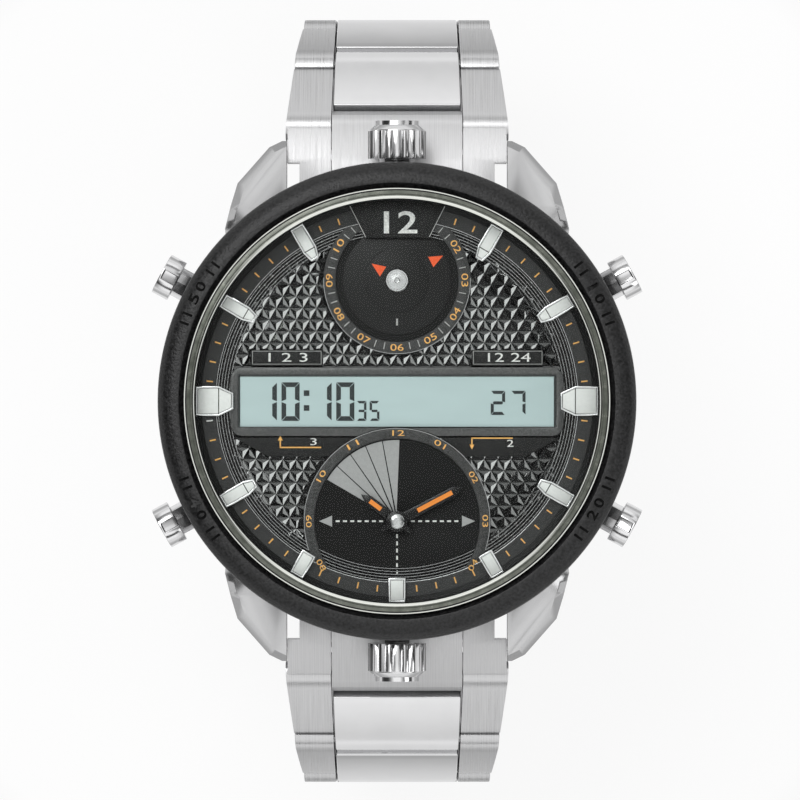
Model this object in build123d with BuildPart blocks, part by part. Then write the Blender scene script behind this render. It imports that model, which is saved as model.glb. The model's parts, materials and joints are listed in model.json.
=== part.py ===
from build123d import *
import os
from math import cos, radians, sin

# A watch with two hand-read times and a display strip, on a steel link bracelet.
# It stands on its closed clasp with the dial facing up. All sizes are millimetres.
# The floor is at zero, 12 o'clock lies at +Y and 3 o'clock at +X.

# Fits that every piece shares
slide_gap = 0.04
seat_gap = 0.05
side_gap = 0.08
turn_gap = 0.25
overrun = 1.0

# Hidden pins and bores have few sides, and turn freely in each other
pin_sides = 8
pin_flat_share = 0.92
wall_sides = 48
spacer_sides = 16
knuckle_sides = 12
knuckle_turn = 15

# Bracelet: six units on each side, from the case down to the clasp
lug_width = 24.0
strand_width_shares = (1.0, 0.925, 0.855, 0.81, 0.78, 0.76, 0.75)
centre_width_shares = (0.592, 0.571, 0.558, 0.55, 0.545, 0.542, 0.54)
link_thickness = 3.2
link_pitch = 9.5
link_slopes = (43, 66, 88, 112, 137, 160)
hinge_pin_radius = 0.6
first_pivot_overhang = 4.25
first_pivot_rise = 2.0
last_neck_width = 9.2
last_neck_length = 3.6
last_outer_setback = 2.7

# Clasp: an outer cover that holds two folded blades
clasp_pivot_height = 2.4
cover_floor = 1.0
cover_wall = 1.3
cover_wall_height = 4.4
cover_ear_radius = 2.1
cover_edge_chamfer = 0.4
blade_thickness = 0.8
blade_width = 12.4
blade_reach = 14.5
blade_pivot_height = 1.9
blade_barrel_radius = 0.85
blade_pin_radius = 0.45
blade_ear_width = 1.2
inner_blade_rise = 0.2
inner_ear_radius = 1.4
ear_notch_setback = 2.6
cover_front_overhang = 0.7
clasp_button_length = 3.8
clasp_button_height = 1.4
clasp_button_reach = 9.0
clasp_button_rise = 1.9
clasp_button_proud = 0.6
clasp_button_flange = 0.5
clasp_button_lip = 0.4

# Case and bezel
bezel_radius = 25.75
bezel_height = 4.4
bezel_face_fall = 0.45
bezel_outer_chamfer = 0.9
bezel_overhang = 0.85
case_height = 9.7
back_proud = 0.8
case_chamfer = 1.4
back_thickness = 1.6
dial_inset = 0.7
bezel_width = 2.85
crystal_thickness = 1.8
crystal_rise = 0.6
crystal_bevel_width = 1.1
crystal_bevel_depth = 0.5

# Lugs
lug_thickness = 6.6
lug_root_inset = 6.3
lug_overhang = 3.4
lug_root_overlap = 3.6
lug_root_flare = 0.4
lug_outline_shares = ((0.909, 0.258), (0.803, 0.515), (0.288, 0.928), (0.076, 1.0), (0.0, 1.0))
lug_shoulder_inset = 4.7
lug_shoulder_drop = 0.25
lug_tip_top = 4.9
lug_tip_bottom = 1.2
lug_belly = 0.2
lug_belly_overhang = 0.1
lug_facet = 0.9
lug_bar_setback = 1.5
lug_bar_rise = 3.0
lug_bar_radius = 0.8
lug_bar_tip_radius = 0.45
lug_bar_tip_length = 1.0

# End links, which close the space between the lugs
end_link_top = 5.2
end_link_bottom = 0.8
end_link_flat_overhang = 1.6
end_link_depth = 3.4
end_link_tongue_width = 21.2
end_link_shoulder_overhang = 1.0
end_link_hood = 0.5
end_link_lip = 0.3

# Dial stack, measured from the glass down
dial_depth = 2.3
dial_thickness = 0.6
track_width = 2.7
track_height = 0.6
flange_wall = 0.45

# Display strip
display_width = 33.9
display_length = 5.5
display_shift = -0.07
display_frame_side = 1.02
display_frame_end = 0.97
display_frame_height = 0.5
display_frame_radius = 1.3
display_frame_chamfer = 0.25
display_glass_rise = 0.1
display_glass_thickness = 1.25

# Upper small dial with two turning discs
upper_dial_reach = 13.0
upper_ring_radius = 7.93
upper_ring_flat = 1.3
upper_disc_radius = 5.88
hour_disc_radius = 3.4
disc_thickness = 0.2
disc_step = 0.05
upper_hub_radius = 1.26
upper_hub_height = 0.4

# Lower small dial with two hands
lower_dial_reach = 12.95
lower_ring_radius = 10.04
lower_ring_flat = 1.13
ring_height = 0.5
lower_plate_height = 0.15
hour_hand_length = 4.86
minute_hand_length = 7.97
hand_width = 1.05
hand_tail = 1.9
hand_waist = 0.5
hand_thickness = 0.15
hour_hand_rise = 0.7
minute_hand_rise = 1.2
hour_hand_angle = 306.8
minute_hand_angle = 62.3
lower_hub_radius = 1.13
lower_cap_radius = 0.81
lower_hub_height = 0.3
lower_cap_height = 0.25
arbor_radius = 0.5
arbor_tube_wall = 0.28

# Hour markers: clock angle, width, inner width, straight length, whole length
marker_inset = 0.5
marker_height = 0.5
marker_rim = 0.22
marker_lume_depth = 0.2
marker_width = 1.65
marker_tip_width = 0.95
marker_straight = 2.9
marker_length = 4.1
wide_marker_width = 3.24
wide_marker_tip_width = 1.75
wide_marker_straight = 2.5
short_marker_length = 2.8
bottom_marker_width = 1.87
bottom_marker_length = 2.65

# Small plates on the dial
top_plate_width = 10.4
top_plate_foot_width = 6.95
top_plate_foot_inset = 4.6
top_plate_thickness = 0.3
side_plate_inner = 8.05
side_plate_width = 7.7
side_plate_length = 1.7
side_plate_height = 0.3
side_plate_gap = 0.15
wedge_inset = 4.6
wedge_corner_inset = 8.35
wedge_drop = 2.05
wedge_height = 0.3

# Movement: a spacer frame, a circuit board, a battery and two motors
holder_wall = 3.4
battery_radius = 9.0
battery_thickness = 3.0
movement_gap = 0.1
holder_top = 1.0
display_pocket_floor = 0.4
board_thickness = 0.8
motor_width = 12.0
motor_length = 8.0
motor_outward_shift = 1.0
pivot_hole_radius = 1.2
arbor_end_gap = 0.1

# Push buttons, two on each side
pusher_angles = {"pusher_2": 61.5, "pusher_4": 118.5, "pusher_8": 241.5, "pusher_10": 298.5}
pusher_rise = 8.0
pusher_cap_radius = 2.3
pusher_cap_gap = 1.35
pusher_cap_length = 1.9
pusher_neck_radius = 1.65
neck_depth = 2.0
pusher_groove_width = 1.1
pusher_groove_depth = 0.25
pusher_travel = 0.9

# Crowns at 12 and 6
crown_rise = 8.5
crown_radius = 3.15
crown_gap = 0.45
crown_barrel = 3.0
crown_shoulder = 0.6
crown_shoulder_chamfer = 0.5
crown_cap_radius = 2.35
crown_cap_height = 0.5
crown_flutes = 20
crown_flute_size = 0.42
crown_neck_radius = 1.9
stem_radius = 0.9
stem_depth = 8.3
stem_groove_depth = 0.2
collar_depth = 7.9
collar_thickness = 0.6
collar_radius = 1.25

# Places worked out from the sizes above
case_radius = bezel_radius - bezel_overhang
crystal_radius = bezel_radius - bezel_width
dial_radius = crystal_radius - dial_inset
track_radius = dial_radius - track_width
lug_root = case_radius - lug_root_inset
lug_reach = case_radius + lug_overhang
lug_shoulder = case_radius - lug_shoulder_inset
lug_belly_reach = case_radius + lug_belly_overhang
lug_bar_reach = lug_reach - lug_bar_setback
end_link_flat_reach = case_radius + end_link_flat_overhang
end_link_shoulder = case_radius + end_link_shoulder_overhang
marker_reach = dial_radius - marker_inset
top_plate_foot = dial_radius - top_plate_foot_inset
wedge_outer = dial_radius - wedge_inset
wedge_corner = dial_radius - wedge_corner_inset
neck_start = case_radius - neck_depth
pusher_cap_start = bezel_radius + pusher_cap_gap
crown_start = bezel_radius + crown_gap
stem_start = case_radius - stem_depth
collar_start = case_radius - collar_depth
half_link = link_thickness / 2
flat_end = half_link + turn_gap
first_pivot_reach = bezel_radius + first_pivot_overhang


def strand_pivots():
    """Reach and drop of each hinge, from the case down to the clasp."""
    places = [(first_pivot_reach, 0)]
    for slope in link_slopes:
        reach, drop = places[-1]
        reach += link_pitch * cos(radians(slope))
        drop += link_pitch * sin(radians(slope))
        places.append((reach, drop))
    return places


pivots = strand_pivots()
clasp_reach = pivots[-1][0]
first_pivot_height = clasp_pivot_height + pivots[-1][1]
case_base = first_pivot_height - first_pivot_rise
body_base = case_base + back_proud
back_top = case_base + back_thickness
bezel_base = body_base + case_height
bezel_top = bezel_base + bezel_height
crystal_top = bezel_top + crystal_rise
crystal_base = crystal_top - crystal_thickness
dial_top = crystal_base - dial_depth
dial_base = dial_top - dial_thickness
track_top = dial_top + track_height
holder_ceiling = dial_base - holder_top
cavity_radius = dial_radius + seat_gap
crystal_bore = crystal_radius + seat_gap
arbor_base = holder_ceiling + arbor_end_gap
tube_radius = arbor_radius + slide_gap + arbor_tube_wall
pusher_height = case_base + pusher_rise
crown_height = case_base + crown_rise
marker_base = track_top
cover_half = strand_width_shares[-1] * lug_width / 2
cover_inside = cover_half - cover_wall
inner_blade_base = blade_pivot_height + blade_barrel_radius + inner_blade_rise
upper_centre = (0, upper_dial_reach)
lower_centre = (0, -lower_dial_reach)
strands = {12: 1, 6: -1}


def save(piece, name):
    """Label one finished piece and write it."""
    piece.part.label = name
    export_step(piece.part, f"parts/{name}.step")


def side_plane(sign):
    """Upright plane through the middle: its x runs outward and its y runs up."""
    return Plane(origin=(0, 0, 0), x_dir=(0, sign, 0), z_dir=(sign, 0, 0))


def level_plane(sign, height):
    """Level plane whose y runs outward along one strand."""
    return Plane(origin=(0, 0, height), x_dir=(sign, 0, 0), z_dir=(0, 0, 1))


def radial_plane(angle, height):
    """Plane across a radial axis at a clock angle: its z runs outward."""
    turn = radians(angle)
    return Plane(
        origin=(0, 0, height),
        x_dir=(cos(turn), -sin(turn), 0),
        z_dir=(sin(turn), cos(turn), 0),
    )


def link_plane(sign, index):
    """Plane of one bracelet unit: its y runs down the strand and its z points outward."""
    reach, drop = pivots[index]
    slope = radians(link_slopes[index])
    return Plane(
        origin=(0, sign * reach, first_pivot_height - drop),
        x_dir=(sign, 0, 0),
        z_dir=(0, sign * sin(slope), cos(slope)),
    )


def edge_line(shares, index, place):
    """Half width of the strand at a place along one unit, between its two hinges."""
    near = shares[index] * lug_width / 2
    far = shares[index + 1] * lug_width / 2
    return near + (far - near) * place / link_pitch


def hidden_pin(radius):
    """Section of a hidden pin: its corners lie on the radius."""
    RegularPolygon(radius, pin_sides)


def pin_section(radius):
    """Section of a hinge pin: round, with four flats."""
    with BuildSketch() as section:
        Circle(radius)
        Rectangle(2 * radius * pin_flat_share, 2 * radius * pin_flat_share, mode=Mode.INTERSECT)
    return section.sketch


def hidden_bore(radius, mode=Mode.ADD):
    """Section of a hidden bore: its flats lie on the radius."""
    RegularPolygon(radius, pin_sides, major_radius=False, mode=mode)


def case_body():
    half_gap = lug_width / 2
    root_outer = half_gap + lug_thickness
    outline = [
        (half_gap, lug_root - lug_root_overlap),
        (root_outer - lug_root_flare, lug_root - lug_root_overlap),
        (root_outer, lug_root),
    ]
    for across, along in lug_outline_shares:
        outline.append((half_gap + lug_thickness * across, lug_root + (lug_reach - lug_root) * along))
    side = [
        (lug_root - lug_root_overlap, bezel_base),
        (lug_shoulder, bezel_base - lug_shoulder_drop),
        (lug_reach, case_base + lug_tip_top),
        (lug_reach, case_base + lug_tip_bottom),
        (lug_belly_reach, case_base + lug_belly),
        (lug_root - lug_root_overlap, body_base),
    ]
    with BuildPart() as body:
        with BuildSketch(Plane.XY.offset(case_base)):
            Polygon(*outline, align=None)
        extrude(amount=bezel_base - case_base)
        with BuildSketch(side_plane(1)):
            Polygon(*side, align=None)
        extrude(amount=root_outer + overrun, mode=Mode.INTERSECT)
        rim = body.edges().filter_by(
            lambda edge: edge.center().Z > case_base + lug_tip_top - lug_facet
            and edge.center().X > half_gap + lug_facet / 2
            and edge.center().Y > lug_root
            and abs(edge.tangent_at(0).Z) < sin(radians(60))
            and edge.length > lug_facet
        )
        chamfer(rim, length=lug_facet)
        mirror(about=Plane.YZ)
        mirror(about=Plane.XZ)
        with BuildSketch(Plane.XZ):
            with BuildLine():
                Polyline(
                    (0, body_base),
                    (case_radius - case_chamfer, body_base),
                    (case_radius, body_base + case_chamfer),
                    (case_radius, bezel_base),
                    (0, bezel_base),
                    close=True,
                )
            make_face()
        revolve(axis=Axis.Z)
        with BuildSketch(Plane.XY.offset(case_base - overrun)):
            RegularPolygon(cavity_radius, wall_sides, major_radius=False)
        extrude(amount=bezel_base - case_base + 2 * overrun, mode=Mode.SUBTRACT)
        for angle in pusher_angles.values():
            with BuildSketch(radial_plane(angle, pusher_height).offset(cavity_radius - overrun)):
                hidden_bore(pusher_neck_radius + slide_gap)
            extrude(amount=case_radius - cavity_radius + 2 * overrun, mode=Mode.SUBTRACT)
        for angle in (0, 180):
            with BuildSketch(radial_plane(angle, crown_height).offset(cavity_radius - overrun)):
                hidden_bore(crown_neck_radius + slide_gap)
            extrude(amount=case_radius - cavity_radius + 2 * overrun, mode=Mode.SUBTRACT)
        for sign in strands.values():
            with BuildSketch(side_plane(sign)):
                with Locations((lug_bar_reach, case_base + lug_bar_rise)):
                    hidden_bore(lug_bar_tip_radius + slide_gap)
            extrude(amount=half_gap + lug_bar_tip_length + side_gap, both=True, mode=Mode.SUBTRACT)
    save(body, "case_body")


def case_back():
    with BuildPart() as back:
        with BuildSketch(Plane.XY.offset(case_base)):
            RegularPolygon(cavity_radius - slide_gap, wall_sides, major_radius=False)
        extrude(amount=back_thickness)
    save(back, "case_back")


def bezel():
    with BuildPart() as ring:
        with BuildSketch(Plane.XZ):
            with BuildLine():
                Polyline(
                    (crystal_bore, bezel_base),
                    (bezel_radius, bezel_base),
                    (bezel_radius, bezel_top - bezel_face_fall - bezel_outer_chamfer),
                    (bezel_radius - bezel_outer_chamfer, bezel_top - bezel_face_fall),
                    (crystal_bore, bezel_top),
                    close=True,
                )
            make_face()
        revolve(axis=Axis.Z)
    save(ring, "bezel")


def inner_flange():
    """The chapter ring: a sloped minute track under a wall that carries the glass."""
    wall = dial_radius - flange_wall
    with BuildPart() as flange:
        with BuildSketch(Plane.XZ):
            with BuildLine():
                Polyline(
                    (track_radius, dial_top),
                    (bezel_radius, dial_top),
                    (bezel_radius, crystal_base),
                    (wall, crystal_base),
                    (wall, track_top),
                    close=True,
                )
            make_face()
        revolve(axis=Axis.Z)
        with BuildSketch(Plane.XY.offset(dial_top)):
            RegularPolygon(crystal_radius, wall_sides)
        extrude(amount=crystal_base - dial_top, mode=Mode.INTERSECT)
    save(flange, "inner_flange")


def dial_plate():
    with BuildPart() as plate:
        with BuildSketch(Plane.XY.offset(dial_base)):
            RegularPolygon(dial_radius, wall_sides)
            with Locations((0, display_shift)):
                Rectangle(display_width + 2 * seat_gap, display_length + 2 * seat_gap, mode=Mode.SUBTRACT)
            with Locations(upper_centre, lower_centre):
                hidden_bore(tube_radius + slide_gap, Mode.SUBTRACT)
        extrude(amount=dial_thickness)
    save(plate, "dial_plate")


def dial_ring(name, centre, radius, flat, floor_height):
    """A raised ring round a small dial, trimmed where the minute track begins."""
    with BuildPart() as ring:
        with BuildSketch(Plane.XY.offset(dial_top)):
            with Locations(centre):
                Circle(radius)
            Circle(track_radius - seat_gap, mode=Mode.INTERSECT)
        extrude(amount=ring_height)
        with BuildSketch(Plane.XY.offset(dial_top + floor_height)):
            with Locations(centre):
                Circle(radius - flat)
            Circle(track_radius, mode=Mode.INTERSECT)
        extrude(amount=ring_height, mode=Mode.SUBTRACT)
        with BuildSketch(Plane.XY.offset(dial_top)):
            with Locations(centre):
                hidden_bore(tube_radius + slide_gap)
        extrude(amount=ring_height, mode=Mode.SUBTRACT)
    save(ring, name)


def turning_discs():
    """The upper small dial: a minute disc with an hour disc and a hub above it."""
    minute_base = dial_top + disc_step
    hour_base = minute_base + disc_thickness + disc_step
    hour_top = hour_base + disc_thickness
    with BuildPart() as minute:
        with BuildSketch(Plane.XY.offset(arbor_base)):
            with Locations(upper_centre):
                hidden_pin(tube_radius)
        extrude(amount=minute_base - arbor_base)
        with BuildSketch(Plane.XY.offset(minute_base)):
            with Locations(upper_centre):
                Circle(upper_disc_radius)
        extrude(amount=disc_thickness)
        with BuildSketch(Plane.XY.offset(arbor_base)):
            with Locations(upper_centre):
                hidden_bore(arbor_radius + slide_gap)
        extrude(amount=hour_base - arbor_base, mode=Mode.SUBTRACT)
    save(minute, "minute_disc")
    with BuildPart() as hour:
        with BuildSketch(Plane.XY.offset(arbor_base)):
            with Locations(upper_centre):
                hidden_pin(arbor_radius)
        extrude(amount=hour_base - arbor_base)
        with BuildSketch(Plane.XY.offset(hour_base)):
            with Locations(upper_centre):
                Circle(hour_disc_radius)
        extrude(amount=disc_thickness)
    save(hour, "hour_disc")
    with BuildPart() as hub:
        with BuildSketch(Plane.XY.offset(hour_top)):
            with Locations(upper_centre):
                Circle(upper_hub_radius)
        extrude(amount=upper_hub_height)
    save(hub, "disc_hub")


def hand_points(length):
    """Outline of a tapered hand that points at 12 o'clock from its own centre."""
    half = hand_width / 2
    return [
        (-hand_waist / 2, -hand_tail),
        (hand_waist / 2, -hand_tail),
        (half, lower_hub_radius),
        (half, length - hand_width),
        (0, length),
        (-half, length - hand_width),
        (-half, lower_hub_radius),
    ]


def hands():
    """The lower small dial: an hour hand on a tube and a minute hand on the arbor in it."""
    hour_base = dial_top + hour_hand_rise
    minute_base = dial_top + minute_hand_rise
    with BuildPart() as hour:
        with BuildSketch(Plane.XY.offset(hour_base)):
            with Locations(Location((0, -lower_dial_reach, 0), (0, 0, -hour_hand_angle))):
                Polygon(*hand_points(hour_hand_length), align=None)
            with Locations(lower_centre):
                hidden_pin(lower_hub_radius)
        extrude(amount=hand_thickness)
        with BuildSketch(Plane.XY.offset(arbor_base)):
            with Locations(lower_centre):
                hidden_pin(tube_radius)
        extrude(amount=hour_base - arbor_base)
        with BuildSketch(Plane.XY.offset(arbor_base)):
            with Locations(lower_centre):
                hidden_bore(arbor_radius + slide_gap)
        extrude(amount=minute_base - arbor_base, mode=Mode.SUBTRACT)
    save(hour, "hour_hand")
    with BuildPart() as minute:
        with BuildSketch(Plane.XY.offset(arbor_base)):
            with Locations(lower_centre):
                hidden_pin(arbor_radius)
        extrude(amount=minute_base - arbor_base)
        with BuildSketch(Plane.XY.offset(minute_base)):
            with Locations(Location((0, -lower_dial_reach, 0), (0, 0, -minute_hand_angle))):
                Polygon(*hand_points(minute_hand_length), align=None)
        extrude(amount=hand_thickness)
        with BuildSketch(Plane.XY.offset(minute_base)):
            with Locations(lower_centre):
                Circle(lower_hub_radius)
        extrude(amount=hand_thickness + lower_hub_height)
        with BuildSketch(Plane.XY.offset(minute_base + hand_thickness + lower_hub_height)):
            with Locations(lower_centre):
                Circle(lower_cap_radius)
        extrude(amount=lower_cap_height)
    save(minute, "minute_hand")


def movement():
    """Many-sided plastic spacer, circuit board, battery and the two small motors."""
    holder_radius = cavity_radius - seat_gap
    holder_bore = neck_start - pusher_travel - holder_wall
    board_top = back_top + 2 * movement_gap + battery_thickness + board_thickness
    with BuildPart() as holder:
        with BuildSketch(Plane.XY.offset(back_top)):
            RegularPolygon(holder_radius, spacer_sides)
        extrude(amount=dial_base - back_top)
        with BuildSketch(Plane.XY.offset(back_top)):
            RegularPolygon(holder_bore, spacer_sides)
        extrude(amount=holder_ceiling - back_top, mode=Mode.SUBTRACT)
        with BuildSketch(Plane.XY.offset(holder_ceiling + display_pocket_floor)):
            with Locations((0, display_shift)):
                Rectangle(display_width + 2 * seat_gap, display_length + 2 * seat_gap)
        extrude(amount=holder_top, mode=Mode.SUBTRACT)
        with BuildSketch(Plane.XY.offset(holder_ceiling)):
            with Locations(upper_centre, lower_centre):
                hidden_bore(pivot_hole_radius)
        extrude(amount=holder_top, mode=Mode.SUBTRACT)
        with BuildSketch(Plane.XY.offset(pusher_height - pusher_neck_radius - turn_gap)):
            for angle in (*pusher_angles.values(), 0, 180):
                with Locations(Rotation(0, 0, -angle)):
                    with Locations((0, holder_radius)):
                        Rectangle(2 * (crown_neck_radius + turn_gap), 2 * holder_wall + 2 * overrun)
        extrude(amount=holder_ceiling - pusher_height + pusher_neck_radius + turn_gap, mode=Mode.SUBTRACT)
    save(holder, "movement_holder")
    with BuildPart() as board:
        with BuildSketch(Plane.XY.offset(board_top - board_thickness)):
            RegularPolygon(holder_bore - seat_gap, spacer_sides)
        extrude(amount=board_thickness)
    save(board, "circuit_board")
    with BuildPart() as battery:
        with BuildSketch(Plane.XY.offset(back_top + movement_gap)):
            RegularPolygon(battery_radius, spacer_sides)
        extrude(amount=battery_thickness)
    save(battery, "battery")
    with BuildPart() as motors:
        with BuildSketch(Plane.XY.offset(board_top)):
            for sign in (1, -1):
                with Locations((0, sign * (upper_dial_reach - motor_outward_shift))):
                    Rectangle(motor_width, motor_length)
        extrude(amount=holder_ceiling - board_top)
    save(motors, "dial_motors")


def pusher(name, angle):
    """One push button: a round cap and neck with a groove along the upper side."""
    axis = radial_plane(angle, pusher_height)
    groove = Plane(
        origin=(0, 0, pusher_height + pusher_cap_radius - pusher_groove_depth),
        x_dir=axis.z_dir,
        z_dir=(0, 0, 1),
    )
    with BuildPart() as button:
        with BuildSketch(axis.offset(neck_start)):
            hidden_pin(pusher_neck_radius)
        extrude(amount=pusher_cap_start - neck_start)
        with BuildSketch(axis.offset(pusher_cap_start)):
            Circle(pusher_cap_radius)
        extrude(amount=pusher_cap_length)
        with BuildSketch(groove):
            with Locations((pusher_cap_start, 0)):
                Rectangle(2 * (pusher_cap_length - pusher_groove_depth), pusher_groove_width)
        extrude(amount=overrun, mode=Mode.SUBTRACT)
    save(button, name)


def crown(hour, sign):
    """One crown on its stem, and the collar that slides with it and lets it turn."""
    axis = Plane(origin=(0, 0, crown_height), x_dir=(sign, 0, 0), z_dir=(0, sign, 0))
    shoulder_start = crown_start + crown_barrel
    cap_start = shoulder_start + crown_shoulder
    with BuildPart() as knob:
        with BuildSketch(axis.offset(shoulder_start)):
            RegularPolygon(crown_cap_radius + crown_shoulder, crown_flutes)
        extrude(amount=crown_shoulder)
        top = knob.faces().sort_by(lambda face: abs(face.center().Y))[-1]
        chamfer(top.edges(), length=crown_shoulder_chamfer)
        with BuildSketch(axis.offset(cap_start)):
            Circle(crown_cap_radius)
        extrude(amount=crown_cap_height)
        with BuildSketch(axis.offset(crown_start)):
            RegularPolygon(crown_radius, crown_flutes)
            with PolarLocations(crown_radius, crown_flutes, start_angle=180 / crown_flutes):
                Rectangle(crown_flute_size, crown_flute_size, rotation=45, mode=Mode.SUBTRACT)
        extrude(amount=crown_barrel)
        with BuildSketch(axis.offset(neck_start)):
            hidden_pin(crown_neck_radius)
        extrude(amount=crown_start - neck_start)
        with BuildSketch(axis.offset(collar_start)):
            hidden_pin(stem_radius - stem_groove_depth)
        extrude(amount=neck_start - collar_start)
        with BuildSketch(axis.offset(collar_start + collar_thickness + slide_gap)):
            hidden_pin(stem_radius)
        extrude(amount=neck_start - collar_start - collar_thickness - slide_gap)
        with BuildSketch(axis.offset(stem_start)):
            hidden_pin(stem_radius)
        extrude(amount=collar_start - slide_gap - stem_start)
        with BuildSketch(axis.offset(collar_start - slide_gap)):
            hidden_pin(stem_radius - stem_groove_depth)
        extrude(amount=slide_gap)
    save(knob, f"crown_{hour}")
    with BuildPart() as collar:
        with BuildSketch(axis.offset(collar_start)):
            hidden_pin(collar_radius)
            hidden_bore(stem_radius - stem_groove_depth + slide_gap, Mode.SUBTRACT)
        extrude(amount=collar_thickness)
    save(collar, f"setting_collar_{hour}")


def lug_bars():
    with BuildPart() as bars:
        for sign in strands.values():
            with BuildSketch(side_plane(sign)):
                with Locations((lug_bar_reach, case_base + lug_bar_rise)):
                    hidden_pin(lug_bar_radius)
            extrude(amount=lug_width / 2 - 2 * side_gap, both=True)
            with BuildSketch(side_plane(sign)):
                with Locations((lug_bar_reach, case_base + lug_bar_rise)):
                    hidden_pin(lug_bar_tip_radius)
            extrude(amount=lug_width / 2 + lug_bar_tip_length, both=True)
    save(bars, "lug_bars")


def bracelet_unit(hour, sign, index):
    """One unit: a middle piece, and two outers joined by the hinge pin to the piece above."""
    plane = link_plane(sign, index)
    side = Plane(origin=plane.origin, x_dir=plane.y_dir, z_dir=plane.x_dir)
    last = index == len(link_slopes) - 1
    outer_end = link_pitch - (last_outer_setback if last else flat_end)
    near = edge_line(centre_width_shares, index, flat_end)
    far_place = link_pitch + half_link
    far = edge_line(centre_width_shares, index, far_place)
    inner_start = edge_line(centre_width_shares, index, -half_link) + side_gap
    inner_end = edge_line(centre_width_shares, index, outer_end) + side_gap
    outer_start = edge_line(strand_width_shares, index, -half_link)
    outer_finish = edge_line(strand_width_shares, index, outer_end)
    cut_size = link_thickness + overrun
    pin = pin_section(hinge_pin_radius)
    with BuildPart() as unit:
        with BuildSketch(plane):
            Polygon((near, flat_end), (far, far_place), (-far, far_place), (-near, flat_end), align=None)
        extrude(amount=half_link, both=True)
        with BuildSketch(side):
            with Locations((link_pitch, 0)):
                Rectangle(cut_size, cut_size, align=(Align.MIN, Align.CENTER))
                RegularPolygon(half_link, knuckle_sides, major_radius=False, rotation=knuckle_turn,
                               mode=Mode.SUBTRACT)
        extrude(amount=lug_width, both=True, mode=Mode.SUBTRACT)
        with BuildSketch(side):
            with Locations((link_pitch, 0)):
                hidden_bore(hinge_pin_radius + slide_gap)
        extrude(amount=lug_width, both=True, mode=Mode.SUBTRACT)
        if last and hour == 12:
            for mirror_sign in (1, -1):
                with BuildSketch(plane):
                    with Locations((mirror_sign * last_neck_width / 2, link_pitch - last_neck_length)):
                        edge_align = Align.MIN if mirror_sign > 0 else Align.MAX
                        Rectangle(lug_width, link_pitch, align=(edge_align, Align.MIN))
                extrude(amount=link_thickness, both=True, mode=Mode.SUBTRACT)
        for mirror_sign in (1, -1):
            with BuildSketch(plane):
                Polygon(
                    (mirror_sign * inner_start, -half_link),
                    (mirror_sign * outer_start, -half_link),
                    (mirror_sign * outer_finish, outer_end),
                    (mirror_sign * inner_end, outer_end),
                    align=None,
                )
            extrude(amount=half_link, both=True)
        with BuildSketch(side):
            Rectangle(cut_size, cut_size, align=(Align.MAX, Align.CENTER))
            RegularPolygon(half_link, knuckle_sides, major_radius=False, rotation=knuckle_turn,
                           mode=Mode.SUBTRACT)
        extrude(amount=lug_width, both=True, mode=Mode.SUBTRACT)
        with BuildSketch(side):
            add(pin)
        extrude(amount=inner_start + side_gap, both=True)
        if last and hour == 12:
            with BuildSketch(side):
                with Locations((link_pitch, 0)):
                    add(pin)
            extrude(amount=last_neck_width / 2 - side_gap, both=True)
    save(unit, f"link_{hour}_{index + 1}")


def crystal():
    with BuildPart() as glass:
        with BuildSketch(Plane.XY.offset(crystal_base)):
            Circle(crystal_radius - slide_gap / 2)
        extrude(amount=crystal_thickness)
        rim = glass.edges().filter_by(GeomType.CIRCLE).sort_by(Axis.Z)[-1]
        chamfer(rim, length=crystal_bevel_depth, length2=crystal_bevel_width)
    save(glass, "crystal")


def display_frame():
    width = display_width + 2 * display_frame_side
    length = display_length + 2 * display_frame_end
    with BuildPart() as frame:
        with BuildSketch(Plane.XY.offset(dial_top)):
            with Locations((0, display_shift)):
                RectangleRounded(width, length, display_frame_radius)
                Rectangle(display_width, display_length, mode=Mode.SUBTRACT)
            with Locations(lower_centre):
                Circle(lower_ring_radius + seat_gap, mode=Mode.SUBTRACT)
        extrude(amount=display_frame_height)
        inside = frame.edges().group_by(Axis.Z)[-1].filter_by(
            lambda edge: abs(edge.center().X) < display_width / 2 + seat_gap
            and edge.center().Y < display_shift + display_length / 2 + seat_gap
            and edge.center().Y > display_shift - display_length / 2 + seat_gap
            and edge.geom_type == GeomType.LINE
            and edge.length > display_length / 2
        )
        chamfer(inside, length=display_frame_chamfer)
    save(frame, "display_frame")


def display_panel():
    with BuildPart() as panel:
        with BuildSketch(Plane.XY.offset(dial_top + display_glass_rise - display_glass_thickness)):
            with Locations((0, display_shift)):
                Rectangle(display_width - 2 * seat_gap, display_length - 2 * seat_gap)
        extrude(amount=display_glass_thickness)
    save(panel, "display_panel")


def marker_outline(width, tip_width, straight, length):
    """Outline of one hour marker that points at 12 o'clock, its outer end on the reach."""
    start = marker_reach
    return [
        (-width / 2, start),
        (width / 2, start),
        (width / 2, start - straight),
        (tip_width / 2, start - length),
        (-tip_width / 2, start - length),
        (-width / 2, start - straight),
    ]


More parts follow.
